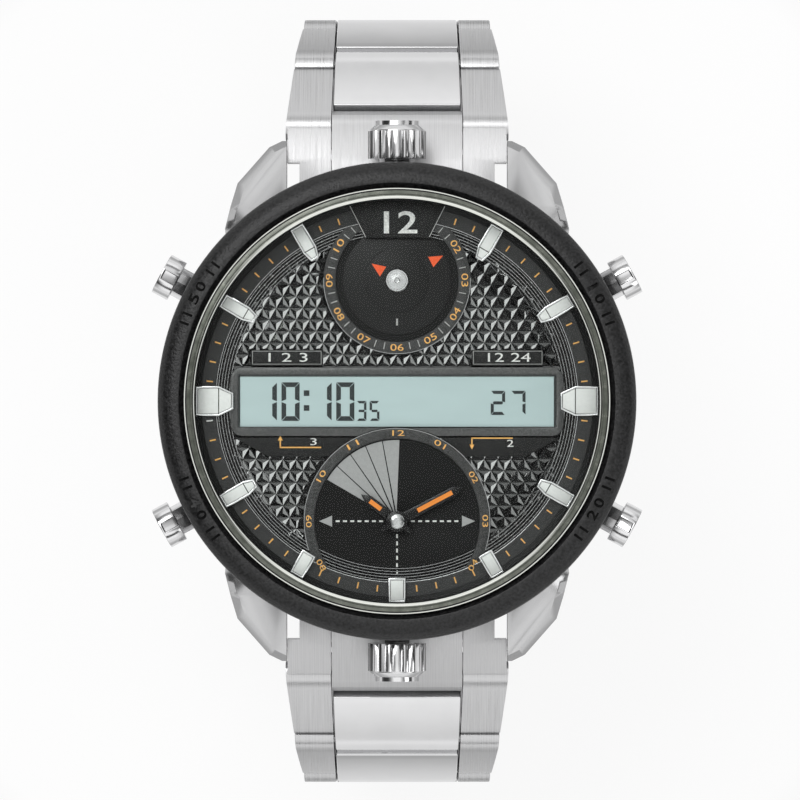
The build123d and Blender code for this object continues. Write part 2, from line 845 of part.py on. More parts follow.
def hour_markers():
    slim = marker_outline(marker_width, marker_tip_width, marker_straight, marker_length)
    wide = marker_outline(wide_marker_width, wide_marker_tip_width, wide_marker_straight, marker_length)
    short = marker_outline(marker_width, marker_width, short_marker_length / 2, short_marker_length)
    bottom = marker_outline(
        bottom_marker_width, bottom_marker_width, bottom_marker_length / 2, bottom_marker_length
    )
    outlines = {1: slim, 2: slim, 3: wide, 4: slim, 5: short, 6: bottom, 7: short, 8: slim, 9: wide}
    outlines.update({10: slim, 11: slim})
    with BuildSketch(Plane.XY.offset(marker_base)) as outer:
        for hour, outline in outlines.items():
            with Locations(Rotation(0, 0, -30 * hour)):
                Polygon(*outline, align=None)
    with BuildSketch(Plane.XY.offset(marker_base)) as inner:
        add(outer.sketch)
        offset(amount=-marker_rim, kind=Kind.INTERSECTION, mode=Mode.REPLACE)
    with BuildPart() as frames:
        extrude(outer.sketch, amount=marker_height)
        extrude(inner.sketch.moved(Location((0, 0, marker_height - marker_lume_depth))),
                amount=marker_lume_depth + overrun, mode=Mode.SUBTRACT)
    save(frames, "hour_markers")
    with BuildSketch(Plane.XY.offset(marker_base + marker_height - marker_lume_depth)) as fill:
        add(outer.sketch.moved(Location((0, 0, marker_height - marker_lume_depth))))
        offset(amount=-marker_rim - slide_gap, kind=Kind.INTERSECTION, mode=Mode.REPLACE)
    with BuildPart() as lume:
        extrude(fill.sketch, amount=marker_lume_depth)
    save(lume, "marker_lume")


def dial_plates():
    """The plate at 12 o'clock, two name plates and two wedges beside the lower ring."""
    frame_end = display_length / 2 + display_frame_end
    wedge_top = display_shift - frame_end - side_plate_gap
    plate_base = display_shift + frame_end + side_plate_gap
    with BuildPart() as plates:
        with BuildSketch(Plane.XY.offset(track_top)):
            with BuildLine():
                half_top = top_plate_width / 2
                half_foot = top_plate_foot_width / 2
                shoulder = (marker_reach ** 2 - half_top ** 2) ** (1 / 2)
                Polyline(
                    (-half_top, shoulder),
                    (-half_foot, top_plate_foot),
                    (half_foot, top_plate_foot),
                    (half_top, shoulder),
                )
                ThreePointArc((half_top, shoulder), (0, marker_reach), (-half_top, shoulder))
            make_face()
        extrude(amount=top_plate_thickness)
        with BuildSketch(Plane.XY.offset(dial_top)):
            for sign in (1, -1):
                middle = sign * (side_plate_inner + side_plate_width / 2)
                with Locations((middle, plate_base + side_plate_length / 2)):
                    Rectangle(side_plate_width, side_plate_length)
        extrude(amount=side_plate_height)
        with BuildSketch(Plane.XY.offset(dial_top)):
            for sign in (1, -1):
                Polygon(
                    (0, wedge_top),
                    (sign * wedge_outer, wedge_top),
                    (sign * wedge_corner, wedge_top - wedge_drop),
                    (0, wedge_top - wedge_drop),
                    align=None,
                )
            with Locations(lower_centre):
                Circle(lower_ring_radius + seat_gap, mode=Mode.SUBTRACT)
        extrude(amount=wedge_height)
    save(plates, "dial_plates")


def end_link(hour, sign):
    """One end link: a polished middle and two outers that fill the space between the lugs."""
    side = side_plane(sign)
    level = level_plane(sign, case_base)
    back = case_radius - end_link_depth
    hood_end = first_pivot_reach - end_link_lip
    centre_half = centre_width_shares[0] * lug_width / 2
    outer_half = lug_width / 2 - side_gap
    tongue_half = end_link_tongue_width / 2
    top = case_base + end_link_top
    bottom = case_base + end_link_bottom
    pivot = (first_pivot_reach, first_pivot_height)
    with BuildPart() as link:
        with BuildSketch(level):
            for mirror_sign in (1, -1):
                Polygon(
                    (mirror_sign * (centre_half + side_gap), back),
                    (mirror_sign * tongue_half, back),
                    (mirror_sign * tongue_half, end_link_shoulder),
                    (mirror_sign * outer_half, end_link_shoulder),
                    (mirror_sign * outer_half, hood_end),
                    (mirror_sign * (centre_half + side_gap), hood_end),
                    align=None,
                )
        extrude(amount=end_link_top)
        with BuildSketch(side):
            Polygon(
                (back, top),
                (end_link_flat_reach, top),
                (hood_end, first_pivot_height + half_link + end_link_hood),
                (hood_end, first_pivot_height),
                (hood_end - half_link, first_pivot_height - half_link),
                (back, bottom),
                align=None,
            )
        extrude(amount=lug_width, both=True, mode=Mode.INTERSECT)
        with BuildSketch(side):
            with Locations(pivot):
                RegularPolygon(flat_end, knuckle_sides, major_radius=False, rotation=knuckle_turn)
        extrude(amount=lug_width, both=True, mode=Mode.SUBTRACT)
        with BuildSketch(side):
            Polygon(
                (first_pivot_reach, first_pivot_height - half_link),
                (back, bottom),
                (back, top),
                (end_link_flat_reach, top),
                (first_pivot_reach, first_pivot_height + half_link),
                align=None,
            )
            with Locations(pivot):
                RegularPolygon(half_link, knuckle_sides, major_radius=False, rotation=knuckle_turn)
        extrude(amount=centre_half, both=True)
        with BuildSketch(side):
            with Locations(pivot):
                hidden_bore(hinge_pin_radius + slide_gap)
            with Locations((lug_bar_reach, case_base + lug_bar_rise)):
                hidden_bore(lug_bar_radius + slide_gap)
        extrude(amount=lug_width, both=True, mode=Mode.SUBTRACT)
        with BuildSketch(Plane.XY.offset(case_base - overrun)):
            Circle(case_radius + seat_gap)
        extrude(amount=end_link_top + 2 * overrun, mode=Mode.SUBTRACT)
    save(link, f"end_link_{hour}")


def clasp_cover():
    """The outer cover: a floor and two side walls that carry the hinge pins."""
    side = side_plane(1)
    front = blade_reach + cover_front_overhang
    floor_back = flat_end - clasp_reach
    ear_low = clasp_pivot_height - cover_ear_radius
    button_middle = clasp_button_rise + clasp_button_height / 2
    hinge_pin = pin_section(hinge_pin_radius)
    blade_pin = pin_section(blade_pin_radius)
    with BuildPart() as cover:
        for mirror_sign in (1, -1):
            with BuildSketch(side.offset(mirror_sign * cover_inside)):
                Polygon(
                    (-clasp_reach, ear_low),
                    (-clasp_reach, cover_wall_height),
                    (blade_reach, cover_wall_height),
                    (front, clasp_pivot_height),
                    (front, 0),
                    (ear_low + cover_floor - clasp_reach, 0),
                    align=None,
                )
                with Locations((-clasp_reach, clasp_pivot_height)):
                    hidden_pin(cover_ear_radius)
            extrude(amount=mirror_sign * cover_wall)
        with BuildSketch(side):
            with Locations((floor_back, 0)):
                Rectangle(front - floor_back, cover_floor, align=(Align.MIN, Align.MIN))
        extrude(amount=cover_inside, both=True)
        low_edges = cover.edges().filter_by(Axis.Y).group_by(Axis.Z)[0]
        chamfer(low_edges, length=cover_edge_chamfer)
        with BuildSketch(side):
            with Locations((clasp_button_reach, button_middle)):
                Rectangle(clasp_button_length + 2 * seat_gap, clasp_button_height + 2 * seat_gap)
        extrude(amount=cover_half + overrun, both=True, mode=Mode.SUBTRACT)
        with BuildSketch(side):
            with Locations((-clasp_reach, clasp_pivot_height)):
                add(hinge_pin)
            with Locations((blade_reach, blade_pivot_height)):
                add(blade_pin)
        extrude(amount=cover_half - side_gap, both=True)
    save(cover, "clasp_cover")


def clasp_buttons():
    """Two sprung buttons in slots of the cover's walls, each kept by a flange inside."""
    button_middle = clasp_button_rise + clasp_button_height / 2
    flange_end = cover_inside - side_gap
    flange_start = flange_end - clasp_button_flange
    for label, sign in (("right", 1), ("left", -1)):
        plane = Plane(origin=(0, 0, 0), x_dir=(0, sign, 0), z_dir=(sign, 0, 0))
        with BuildPart() as button:
            with BuildSketch(plane.offset(flange_start)):
                with Locations((sign * clasp_button_reach, button_middle)):
                    Rectangle(
                        clasp_button_length + 2 * clasp_button_lip,
                        clasp_button_height + 2 * clasp_button_lip,
                    )
            extrude(amount=clasp_button_flange)
            with BuildSketch(plane.offset(flange_end)):
                with Locations((sign * clasp_button_reach, button_middle)):
                    Rectangle(clasp_button_length, clasp_button_height)
            extrude(amount=cover_half + clasp_button_proud - flange_end)
        save(button, f"clasp_button_{label}")


def clasp_blades():
    """The outer blade turns in the cover and the inner blade turns on the outer one."""
    side = side_plane(1)
    half_width = blade_width / 2
    ear_start = half_width - blade_ear_width
    half_plate = blade_thickness / 2
    barrel_slot = blade_barrel_radius + turn_gap
    pin = pin_section(blade_pin_radius)
    with BuildPart() as outer:
        with BuildSketch(side):
            with Locations((0, blade_pivot_height)):
                Rectangle(2 * blade_reach, blade_thickness)
            with Locations((blade_reach, blade_pivot_height), (-blade_reach, blade_pivot_height)):
                hidden_pin(blade_barrel_radius)
        extrude(amount=half_width, both=True)
        for mirror_sign in (1, -1):
            with BuildSketch(side.offset(mirror_sign * (ear_start - side_gap))):
                with Locations((-blade_reach, blade_pivot_height)):
                    Rectangle(2 * barrel_slot, 2 * barrel_slot)
            extrude(amount=mirror_sign * half_width, mode=Mode.SUBTRACT)
        with BuildSketch(side):
            with Locations((blade_reach, blade_pivot_height), (-blade_reach, blade_pivot_height)):
                hidden_bore(blade_pin_radius + slide_gap)
        extrude(amount=half_width + overrun, both=True, mode=Mode.SUBTRACT)
    save(outer, "clasp_outer_blade")
    plate_end = clasp_reach - ear_notch_setback
    fork_start = last_neck_width / 2 + turn_gap
    with BuildPart() as inner:
        with BuildSketch(side):
            with Locations(((plate_end - blade_reach) / 2, inner_blade_base + half_plate)):
                Rectangle(plate_end + blade_reach, blade_thickness)
        extrude(amount=half_width, both=True)
        for mirror_sign in (1, -1):
            with BuildSketch(side.offset(mirror_sign * ear_start)):
                with Locations((-blade_reach, blade_pivot_height)):
                    hidden_pin(blade_barrel_radius)
                    Rectangle(
                        2 * blade_barrel_radius,
                        inner_blade_base + half_plate - blade_pivot_height,
                        align=(Align.CENTER, Align.MIN),
                    )
            extrude(amount=mirror_sign * blade_ear_width)
            with BuildSketch(side.offset(mirror_sign * fork_start)):
                Polygon(
                    (plate_end - blade_ear_width, inner_blade_base),
                    (plate_end - blade_ear_width, inner_blade_base + blade_thickness),
                    (clasp_reach, inner_blade_base + blade_thickness),
                    (clasp_reach, inner_blade_base),
                    align=None,
                )
                with Locations((clasp_reach, clasp_pivot_height)):
                    hidden_pin(inner_ear_radius)
            extrude(amount=mirror_sign * blade_ear_width)
        with BuildSketch(side):
            with Locations((clasp_reach, clasp_pivot_height)):
                hidden_bore(hinge_pin_radius + slide_gap)
        extrude(amount=half_width + overrun, both=True, mode=Mode.SUBTRACT)
        with BuildSketch(side):
            with Locations((-blade_reach, blade_pivot_height)):
                add(pin)
        extrude(amount=half_width - side_gap, both=True)
    save(inner, "clasp_inner_blade")


os.makedirs("parts", exist_ok=True)
case_body()
bezel()
crystal()
case_back()
inner_flange()
dial_plate()
display_frame()
display_panel()
dial_ring("upper_ring", upper_centre, upper_ring_radius, upper_ring_flat, 0)
dial_ring("lower_ring", lower_centre, lower_ring_radius, lower_ring_flat, lower_plate_height)
turning_discs()
hands()
hour_markers()
dial_plates()
movement()
for button_name, button_angle in pusher_angles.items():
    pusher(button_name, button_angle)
lug_bars()
for strand_hour, strand_sign in strands.items():
    crown(strand_hour, strand_sign)
    end_link(strand_hour, strand_sign)
    for place in range(len(link_slopes)):
        bracelet_unit(strand_hour, strand_sign, place)
clasp_cover()
clasp_buttons()
clasp_blades()
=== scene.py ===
import json
from math import cos, hypot, radians, sin, sqrt, tau

import bpy
from mathutils import Matrix, Vector


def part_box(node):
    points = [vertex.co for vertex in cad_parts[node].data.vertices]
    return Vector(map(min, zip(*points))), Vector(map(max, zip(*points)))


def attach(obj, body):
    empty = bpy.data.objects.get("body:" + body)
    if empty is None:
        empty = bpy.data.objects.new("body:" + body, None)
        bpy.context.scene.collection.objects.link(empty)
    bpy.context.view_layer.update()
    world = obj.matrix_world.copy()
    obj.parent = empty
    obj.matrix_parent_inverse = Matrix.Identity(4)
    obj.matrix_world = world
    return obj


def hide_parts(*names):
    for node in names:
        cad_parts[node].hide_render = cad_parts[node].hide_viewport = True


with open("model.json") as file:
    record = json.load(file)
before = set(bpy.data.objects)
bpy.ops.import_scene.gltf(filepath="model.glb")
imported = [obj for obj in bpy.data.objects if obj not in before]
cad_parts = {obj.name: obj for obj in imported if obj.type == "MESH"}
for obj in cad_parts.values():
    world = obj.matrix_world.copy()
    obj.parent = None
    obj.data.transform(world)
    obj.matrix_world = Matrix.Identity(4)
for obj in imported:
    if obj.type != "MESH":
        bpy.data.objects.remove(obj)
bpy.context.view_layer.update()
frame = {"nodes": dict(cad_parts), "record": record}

bl_info = {
    "name": "Watch with small dials and a display strip",
    "version": (1, 0, 0),
    "blender": (4, 5, 0),
    "location": "View3D > Sidebar > Watch",
    "description": "Dresses the packed watch: dial, bezel, bracelet, lights and camera",
    "category": "Object",
}

MM = 0.001
NODES = frame["nodes"]
BODY_OF = {
    node: body
    for body, members in frame["record"]["behaviour"]["bodies"].items()
    for node in members
}

PIVOTS = {
    joint["name"]: Vector(joint["pos_m"])
    for joint in frame["record"]["behaviour"]["joints"]
    if joint["name"].startswith("strand")
}

# Places read from the frame
DIAL_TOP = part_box("dial_plate")[1][2]
TRACK_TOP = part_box("inner_flange")[0][2] + 0.6 * MM
CRYSTAL_LOW, CRYSTAL_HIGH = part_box("crystal")
BEZEL_LOW, BEZEL_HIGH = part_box("bezel")
PANEL_LOW, PANEL_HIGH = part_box("display_panel")
FRAME_LOW, FRAME_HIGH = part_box("display_frame")
UPPER = (0.0, 13.0 * MM)
LOWER = (0.0, -12.95 * MM)


# Sizes and colours that a user would change

class BezelSizes(bpy.types.PropertyGroup):
    face_inner: bpy.props.FloatProperty(
        name="Face inner radius", description="Where the sandblasted face ends and the bright inner slope begins",
        default=23.45 * MM, unit="LENGTH", precision=5)
    numeral_size: bpy.props.FloatProperty(
        name="Numeral size", description="Height of the cut numerals beside the push buttons",
        default=1.1 * MM, unit="LENGTH", precision=5)
    coat: bpy.props.FloatVectorProperty(
        name="Coat", description="Colour of the bezel's coat",
        default=(0.012, 0.012, 0.0125), subtype="COLOR", size=3, min=0, max=1)


class DialSizes(bpy.types.PropertyGroup):
    pitch: bpy.props.FloatProperty(
        name="Pyramid pitch", description="Distance between neighbouring pyramids on the dial",
        default=1.447 * MM, unit="LENGTH", precision=6)
    height: bpy.props.FloatProperty(
        name="Pyramid height", description="Height of one pyramid above the dial",
        default=0.235 * MM, unit="LENGTH", precision=6)
    ridge_inner: bpy.props.FloatProperty(
        name="Ridge inner radius", description="Radius where the fine ridges round the dial begin",
        default=17.95 * MM, unit="LENGTH", precision=5)
    ridge_count: bpy.props.IntProperty(
        name="Ridges", description="Number of fine ridges round the dial", default=5, min=1)
    coat: bpy.props.FloatVectorProperty(
        name="Dial", description="Colour of the pyramids' metal", default=(0.34, 0.34, 0.34),
        subtype="COLOR", size=3, min=0, max=1)
    print_colour: bpy.props.FloatVectorProperty(
        name="Printing", description="Colour of the minute ticks and numerals", default=(1.0, 0.5, 0.13),
        subtype="COLOR", size=3, min=0, max=1)


class DisplaySizes(bpy.types.PropertyGroup):
    large_height: bpy.props.FloatProperty(
        name="Large digit height", description="Height of the hour and minute digits",
        default=4.15 * MM, unit="LENGTH", precision=5)
    small_height: bpy.props.FloatProperty(
        name="Small digit height", description="Height of the seconds digits",
        default=2.15 * MM, unit="LENGTH", precision=5)
    glass: bpy.props.FloatVectorProperty(
        name="Glass", description="Colour of the unlit display", default=(0.525, 0.66, 0.665),
        subtype="COLOR", size=3, min=0, max=1)


class BraceletSizes(bpy.types.PropertyGroup):
    edge: bpy.props.FloatProperty(
        name="Edge rounding", description="Width of the rounded edges of the bracelet units",
        default=0.16 * MM, unit="LENGTH", precision=6)
    crown: bpy.props.FloatProperty(
        name="Crown", description="How far the ends of a unit's outer face sink below its middle",
        default=0.13 * MM, unit="LENGTH", precision=6)
    far_roll: bpy.props.FloatProperty(
        name="Far roll", description="Rounding of the end of each outer that points away from the case",
        default=0.5 * MM, unit="LENGTH", precision=5)
    groove: bpy.props.FloatProperty(
        name="Groove", description="Extra space at each side of a polished middle",
        default=0.08 * MM, unit="LENGTH", precision=6)
    steel: bpy.props.FloatVectorProperty(
        name="Steel", description="Colour of the steel", default=(0.6, 0.6, 0.605),
        subtype="COLOR", size=3, min=0, max=1)


class StageSizes(bpy.types.PropertyGroup):
    camera_height: bpy.props.FloatProperty(
        name="Camera height", description="Height of the camera above the bezel's top",
        default=0.76, unit="LENGTH", precision=4)
    view_width: bpy.props.FloatProperty(
        name="View width", description="Width that the camera sees at the bezel's top",
        default=85.85 * MM, unit="LENGTH", precision=5)
    lamp_power: bpy.props.FloatProperty(
        name="Lamp power", description="Power of the main lamp", default=1.7, min=0)


GROUPS = {
    "watch_bezel": BezelSizes,
    "watch_dial": DialSizes,
    "watch_display": DisplaySizes,
    "watch_bracelet": BraceletSizes,
    "watch_stage": StageSizes,
}


# Finishes

def blank_material(name):
    """New node material: returns it with its nodes, links and main shader."""
    material = bpy.data.materials.get(name) or bpy.data.materials.new(name)
    material.use_nodes = True
    nodes = material.node_tree.nodes
    return material, nodes, material.node_tree.links, nodes["Principled BSDF"]


def grain(nodes, links, scale, detail=3.0):
    """Noise on object coordinates, stretched by a scale for each axis."""
    coordinates = nodes.new("ShaderNodeTexCoord")
    mapping = nodes.new("ShaderNodeMapping")
    mapping.inputs["Scale"].default_value = scale
    noise = nodes.new("ShaderNodeTexNoise")
    noise.inputs["Scale"].default_value = 1.0
    noise.inputs["Detail"].default_value = detail
    links.new(coordinates.outputs["Object"], mapping.inputs["Vector"])
    links.new(mapping.outputs["Vector"], noise.inputs["Vector"])
    return noise.outputs["Fac"]


def spread(nodes, links, value, low, high):
    """A noise value mapped onto a range."""
    ranged = nodes.new("ShaderNodeMapRange")
    ranged.inputs["From Min"].default_value = 0.3
    ranged.inputs["From Max"].default_value = 0.7
    ranged.inputs["To Min"].default_value = low
    ranged.inputs["To Max"].default_value = high
    links.new(value, ranged.inputs["Value"])
    return ranged.outputs["Result"]


def shaded(nodes, links, value, dark, light):
    """A noise value mapped onto two colours."""
    ramp = nodes.new("ShaderNodeValToRGB")
    ramp.color_ramp.elements[0].position = 0.3
    ramp.color_ramp.elements[0].color = (*dark, 1)
    ramp.color_ramp.elements[1].position = 0.7
    ramp.color_ramp.elements[1].color = (*light, 1)
    links.new(value, ramp.inputs["Fac"])
    return ramp.outputs["Color"]


def raised(nodes, links, shader, value, strength, distance):
    """Bump from a noise value."""
    bump = nodes.new("ShaderNodeBump")
    bump.inputs["Strength"].default_value = strength
    bump.inputs["Distance"].default_value = distance
    links.new(value, bump.inputs["Height"])
    links.new(bump.outputs["Normal"], shader.inputs["Normal"])


def coated(name, colour, metallic, rough, speck=5000, contrast=0.25, bump=0.3, depth=0.01 * MM, shine=0.5):
    """A coat, paint or plastic with a fine grain in colour, gloss and height."""
    material, nodes, links, shader = blank_material(name)
    noise = grain(nodes, links, (speck, speck, speck))
    dark = [part * (1 - contrast) for part in colour]
    light = [min(1, part * (1 + contrast)) for part in colour]
    links.new(shaded(nodes, links, noise, dark, light), shader.inputs["Base Color"])
    links.new(spread(nodes, links, noise, rough * 0.85, min(1, rough * 1.15)), shader.inputs["Roughness"])
    shader.inputs["Metallic"].default_value = metallic
    shader.inputs["Specular IOR Level"].default_value = shine
    raised(nodes, links, shader, noise, bump, depth)
    return material


def steel_colour():
    return tuple(bpy.context.scene.watch_bracelet.steel)


def brushed_steel(name="brushed steel", along="Y", rough=0.32):
    """Steel brushed along one axis: fine lines in gloss, tone and height."""
    material, nodes, links, shader = blank_material(name)
    fine = 14000
    coarse = 130
    scale = (coarse, fine, fine) if along == "X" else (fine, coarse, coarse)
    noise = grain(nodes, links, scale, detail=2.0)
    steel = steel_colour()
    dark = [part * 0.82 for part in steel]
    links.new(shaded(nodes, links, noise, dark, [part * 1.08 for part in steel]), shader.inputs["Base Color"])
    links.new(spread(nodes, links, noise, rough * 0.8, rough * 1.3), shader.inputs["Roughness"])
    shader.inputs["Metallic"].default_value = 1
    raised(nodes, links, shader, noise, 0.25, 0.004 * MM)
    return material


def polished_steel(name="polished steel", rough=0.06, tint=(1.0, 1.0, 1.0), patchy=0.35):
    """Mirror polished steel with faint wipe marks."""
    material, nodes, links, shader = blank_material(name)
    noise = grain(nodes, links, (300, 300, 300))
    steel = [min(1, part * 1.2 * share) for part, share in zip(steel_colour(), tint)]
    links.new(shaded(nodes, links, noise, [part * 0.96 for part in steel], steel), shader.inputs["Base Color"])
    links.new(spread(nodes, links, noise, rough * (1 - patchy), rough * (1 + patchy)), shader.inputs["Roughness"])
    shader.inputs["Metallic"].default_value = 1
    return material


def turned_steel(name, rough=0.16, low=0.7):
    """Steel faced on a lathe, with soft patches of tone and gloss."""
    material, nodes, links, shader = blank_material(name)
    noise = grain(nodes, links, (2500, 2500, 2500), detail=4.0)
    steel = steel_colour()
    links.new(shaded(nodes, links, noise, [part * low for part in steel], steel), shader.inputs["Base Color"])
    links.new(spread(nodes, links, noise, rough * 0.7, rough * 1.6), shader.inputs["Roughness"])
    shader.inputs["Metallic"].default_value = 1
    return material


def clear_glass():
    """Flat clear glass: it lets light straight through and mirrors a little of it."""
    material, nodes, links, shader = blank_material("crystal glass")
    clear = nodes.new("ShaderNodeBsdfTransparent")
    clear.inputs["Color"].default_value = (0.975, 0.985, 0.98, 1)
    gloss = nodes.new("ShaderNodeBsdfGlossy")
    noise = grain(nodes, links, (200, 200, 200))
    links.new(spread(nodes, links, noise, 0.0, 0.02), gloss.inputs["Roughness"])
    fresnel = nodes.new("ShaderNodeFresnel")
    fresnel.inputs["IOR"].default_value = 1.15
    # The far side of the thin disc mirrors nothing, or slanted light would stay inside it
    side = nodes.new("ShaderNodeNewGeometry")
    front = nodes.new("ShaderNodeMath")
    front.operation = "SUBTRACT"
    front.inputs[0].default_value = 1.0
    share = nodes.new("ShaderNodeMath")
    share.operation = "MULTIPLY"
    links.new(side.outputs["Backfacing"], front.inputs[1])
    links.new(fresnel.outputs["Fac"], share.inputs[0])
    links.new(front.outputs["Value"], share.inputs[1])
    mixed = nodes.new("ShaderNodeMixShader")
    links.new(share.outputs["Value"], mixed.inputs["Fac"])
    links.new(clear.outputs["BSDF"], mixed.inputs[1])
    links.new(gloss.outputs["BSDF"], mixed.inputs[2])
    links.new(mixed.outputs["Shader"], nodes["Material Output"].inputs["Surface"])
    nodes.remove(shader)
    return material


def bevel_glass():
    """The ground rim of the glass, which shows grey-green."""
    material, nodes, links, shader = blank_material("crystal rim")
    noise = grain(nodes, links, (900, 900, 900))
    links.new(shaded(nodes, links, noise, (0.10, 0.11, 0.09), (0.19, 0.20, 0.17)), shader.inputs["Base Color"])
    links.new(spread(nodes, links, noise, 0.2, 0.3), shader.inputs["Roughness"])
    shader.inputs["Metallic"].default_value = 0.3
    return material


def display_glass():
    """The display's pale face, with faint soft streaks in its tone."""
    material, nodes, links, shader = blank_material("display glass")
    tone = tuple(bpy.context.scene.watch_display.glass)
    noise = grain(nodes, links, (60, 260, 60))
    dark = [part * 0.93 for part in tone]
    links.new(shaded(nodes, links, noise, dark, [min(1, part * 1.05) for part in tone]), shader.inputs["Base Color"])
    links.new(spread(nodes, links, noise, 0.30, 0.38), shader.inputs["Roughness"])
    return material


# Modelling helpers

def start_clean():
    """Leaves nothing selected, in object mode."""
    if bpy.context.object and bpy.context.object.mode != "OBJECT":
        bpy.ops.object.mode_set(mode="OBJECT")
    bpy.ops.object.select_all(action="DESELECT")


def pick(*objects):
    """Selects only these objects, the first one active."""
    start_clean()
    for item in objects:
        item.select_set(True)
    bpy.context.view_layer.objects.active = objects[0]


def settle(item):
    """Puts the object's place, turn and size into its mesh."""
    pick(item)
    bpy.ops.object.transform_apply(location=True, rotation=True, scale=True)


def outline(name, points, filled=True):
    """A flat or upright loop through the points, made from a circle whose corners are moved."""
    start_clean()
    fill = "NGON" if filled else "NOTHING"
    bpy.ops.mesh.primitive_circle_add(vertices=len(points), radius=MM, fill_type=fill)
    item = bpy.context.object
    item.name = name
    item.data.name = name
    for vertex, point in zip(item.data.vertices, points):
        vertex.co = point
    return item


def slab(name, points, base, rise):
    """A thin plate with a given outline that stands on a height."""
    item = outline(name, [(x, y, base) for x, y in points])
    pick(item)
    bpy.ops.object.mode_set(mode="EDIT")
    bpy.ops.mesh.select_all(action="SELECT")
    bpy.ops.mesh.extrude_region_move(TRANSFORM_OT_translate={"value": (0, 0, rise)})
    bpy.ops.mesh.select_all(action="SELECT")
    bpy.ops.mesh.normals_make_consistent(inside=False)
    bpy.ops.object.mode_set(mode="OBJECT")
    return item


def turned(name, profile, centre=(0, 0), steps=192):
    """A ring or knob: a closed profile of radius and height spun round an upright axis."""
    item = outline(name, [(centre[0] + r, centre[1], z) for r, z in profile], filled=False)
    pick(item)
    bpy.ops.object.mode_set(mode="EDIT")
    bpy.ops.mesh.select_all(action="SELECT")
    bpy.ops.mesh.spin(steps=steps, angle=tau, center=(*centre, 0), axis=(0, 0, 1))
    bpy.ops.mesh.select_all(action="SELECT")
    bpy.ops.mesh.remove_doubles(threshold=0.0005 * MM)
    bpy.ops.mesh.normals_make_consistent(inside=False)
    bpy.ops.object.mode_set(mode="OBJECT")
    return item


def spun_copies(item, turns, centre=(0, 0)):
    """The piece once for each clock angle round an upright axis, all joined."""
    copies = []
    for turn in turns:
        copy = item.copy()
        copy.data = item.data.copy()
        bpy.context.collection.objects.link(copy)
        axis = Matrix.Translation((*centre, 0))
        copy.data.transform(axis @ Matrix.Rotation(-radians(turn), 4, "Z") @ axis.inverted())
        copies.append(copy)
    name = item.name
    bpy.data.objects.remove(item)
    pick(*copies)
    bpy.ops.object.join()
    bpy.context.object.name = name
    return bpy.context.object


def joined(name, items):
    """Several pieces made one."""
    pick(*items)
    if len(items) > 1:
        bpy.ops.object.join()
    bpy.context.object.name = name
    return bpy.context.object


def rounded(item, width, segments=2, angle=30):
    """Rounds the sharp edges with a bevel that is applied."""
    pick(item)
    bevel = item.modifiers.new("Bevel", "BEVEL")
    bevel.width = width
    bevel.segments = segments
    bevel.limit_method = "ANGLE"
    bevel.angle_limit = radians(angle)
    bevel.use_clamp_overlap = True
    bpy.ops.object.modifier_apply(modifier=bevel.name)
    return item


def rolled(item, width, test, segments=4):
    """Rounds only the edges whose two ends pass a test, with a bevel that is applied."""
    pick(item)
    weights = item.data.attributes.new("bevel_weight_edge", "FLOAT", "EDGE")
    for edge in item.data.edges:
        ends = [item.data.vertices[index].co for index in edge.vertices]
        weights.data[edge.index].value = float(test(*ends))
    bevel = item.modifiers.new("Roll", "BEVEL")
    bevel.width = width
    bevel.segments = segments
    bevel.limit_method = "WEIGHT"
    bpy.ops.object.modifier_apply(modifier=bevel.name)
    item.data.attributes.remove(item.data.attributes["bevel_weight_edge"])
    return item


def smoothed(item, angle=35):
    """Shades a piece so that its large faces stay flat and only its rounded edges turn."""
    pick(item)
    bpy.ops.object.shade_smooth_by_angle(angle=radians(angle), keep_sharp_edges=False)
    weighted = item.modifiers.new("Weighted", "WEIGHTED_NORMAL")
    weighted.keep_sharp = True
    bpy.ops.object.modifier_apply(modifier=weighted.name)
    return item


def finished(item, material, body, smooth=35):
    """Gives a piece its material, its smooth shading and the body that it rides on."""
    pick(item)
    item.data.materials.clear()
    item.data.materials.append(material)
    bpy.ops.object.shade_smooth_by_angle(angle=radians(smooth))
    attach(item, body)
    return item


def lettering(name, words, height, width, place, turn=0, rise=0.04 * MM, weight=0.0):
    """Numerals as a thin mesh of a given size, centred on a place and turned clockwise."""
    start_clean()
    bpy.ops.object.text_add(location=place, rotation=(0, 0, -radians(turn)))
    item = bpy.context.object
    item.name = name
    item.data.body = words
    item.data.size = height / 0.7
    item.data.align_x = "CENTER"
    item.data.align_y = "CENTER"
    item.data.extrude = rise / 2
    item.data.offset = weight
    item.data.resolution_u = 4
    bpy.ops.object.convert(target="MESH")
    item = bpy.context.object
    item.scale = (width / item.dimensions.x, height / item.dimensions.y, 1)
    settle(item)
    return item


def arc_line(name, centre, radius, clocks, width, base, rise):
    """A thin raised line along an arc between two clock angles."""
    low, high = clocks
    count = max(3, int(abs(high - low) / 3))
    turns = [low + (high - low) * part / count for part in range(count + 1)]
    inner = [at(centre, radius - width, turn) for turn in turns]
    outer = [at(centre, radius, turn) for turn in reversed(turns)]
    return slab(name, inner + outer, base, rise)


def worked_copy(node, name, width, material, smooth=35, angle=30, segments=2):
    """A CAD node's solid with merged faces and rounded edges, standing for that node."""
    start_clean()
    source = NODES[node]
    item = source.copy()
    item.data = source.data.copy()
    item.parent = None
    item.matrix_world = Matrix.Identity(4)
    item.name = name
    bpy.context.collection.objects.link(item)
    pick(item)
    bpy.ops.object.mode_set(mode="EDIT")
    bpy.ops.mesh.select_all(action="SELECT")
    bpy.ops.mesh.remove_doubles(threshold=0.0005 * MM)
    bpy.ops.mesh.dissolve_limited(angle_limit=radians(1))
    bpy.ops.object.mode_set(mode="OBJECT")
    if width:
        rounded(item, width, segments, angle)
    finished(item, material, BODY_OF[node], smooth)
    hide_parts(node)
    return item


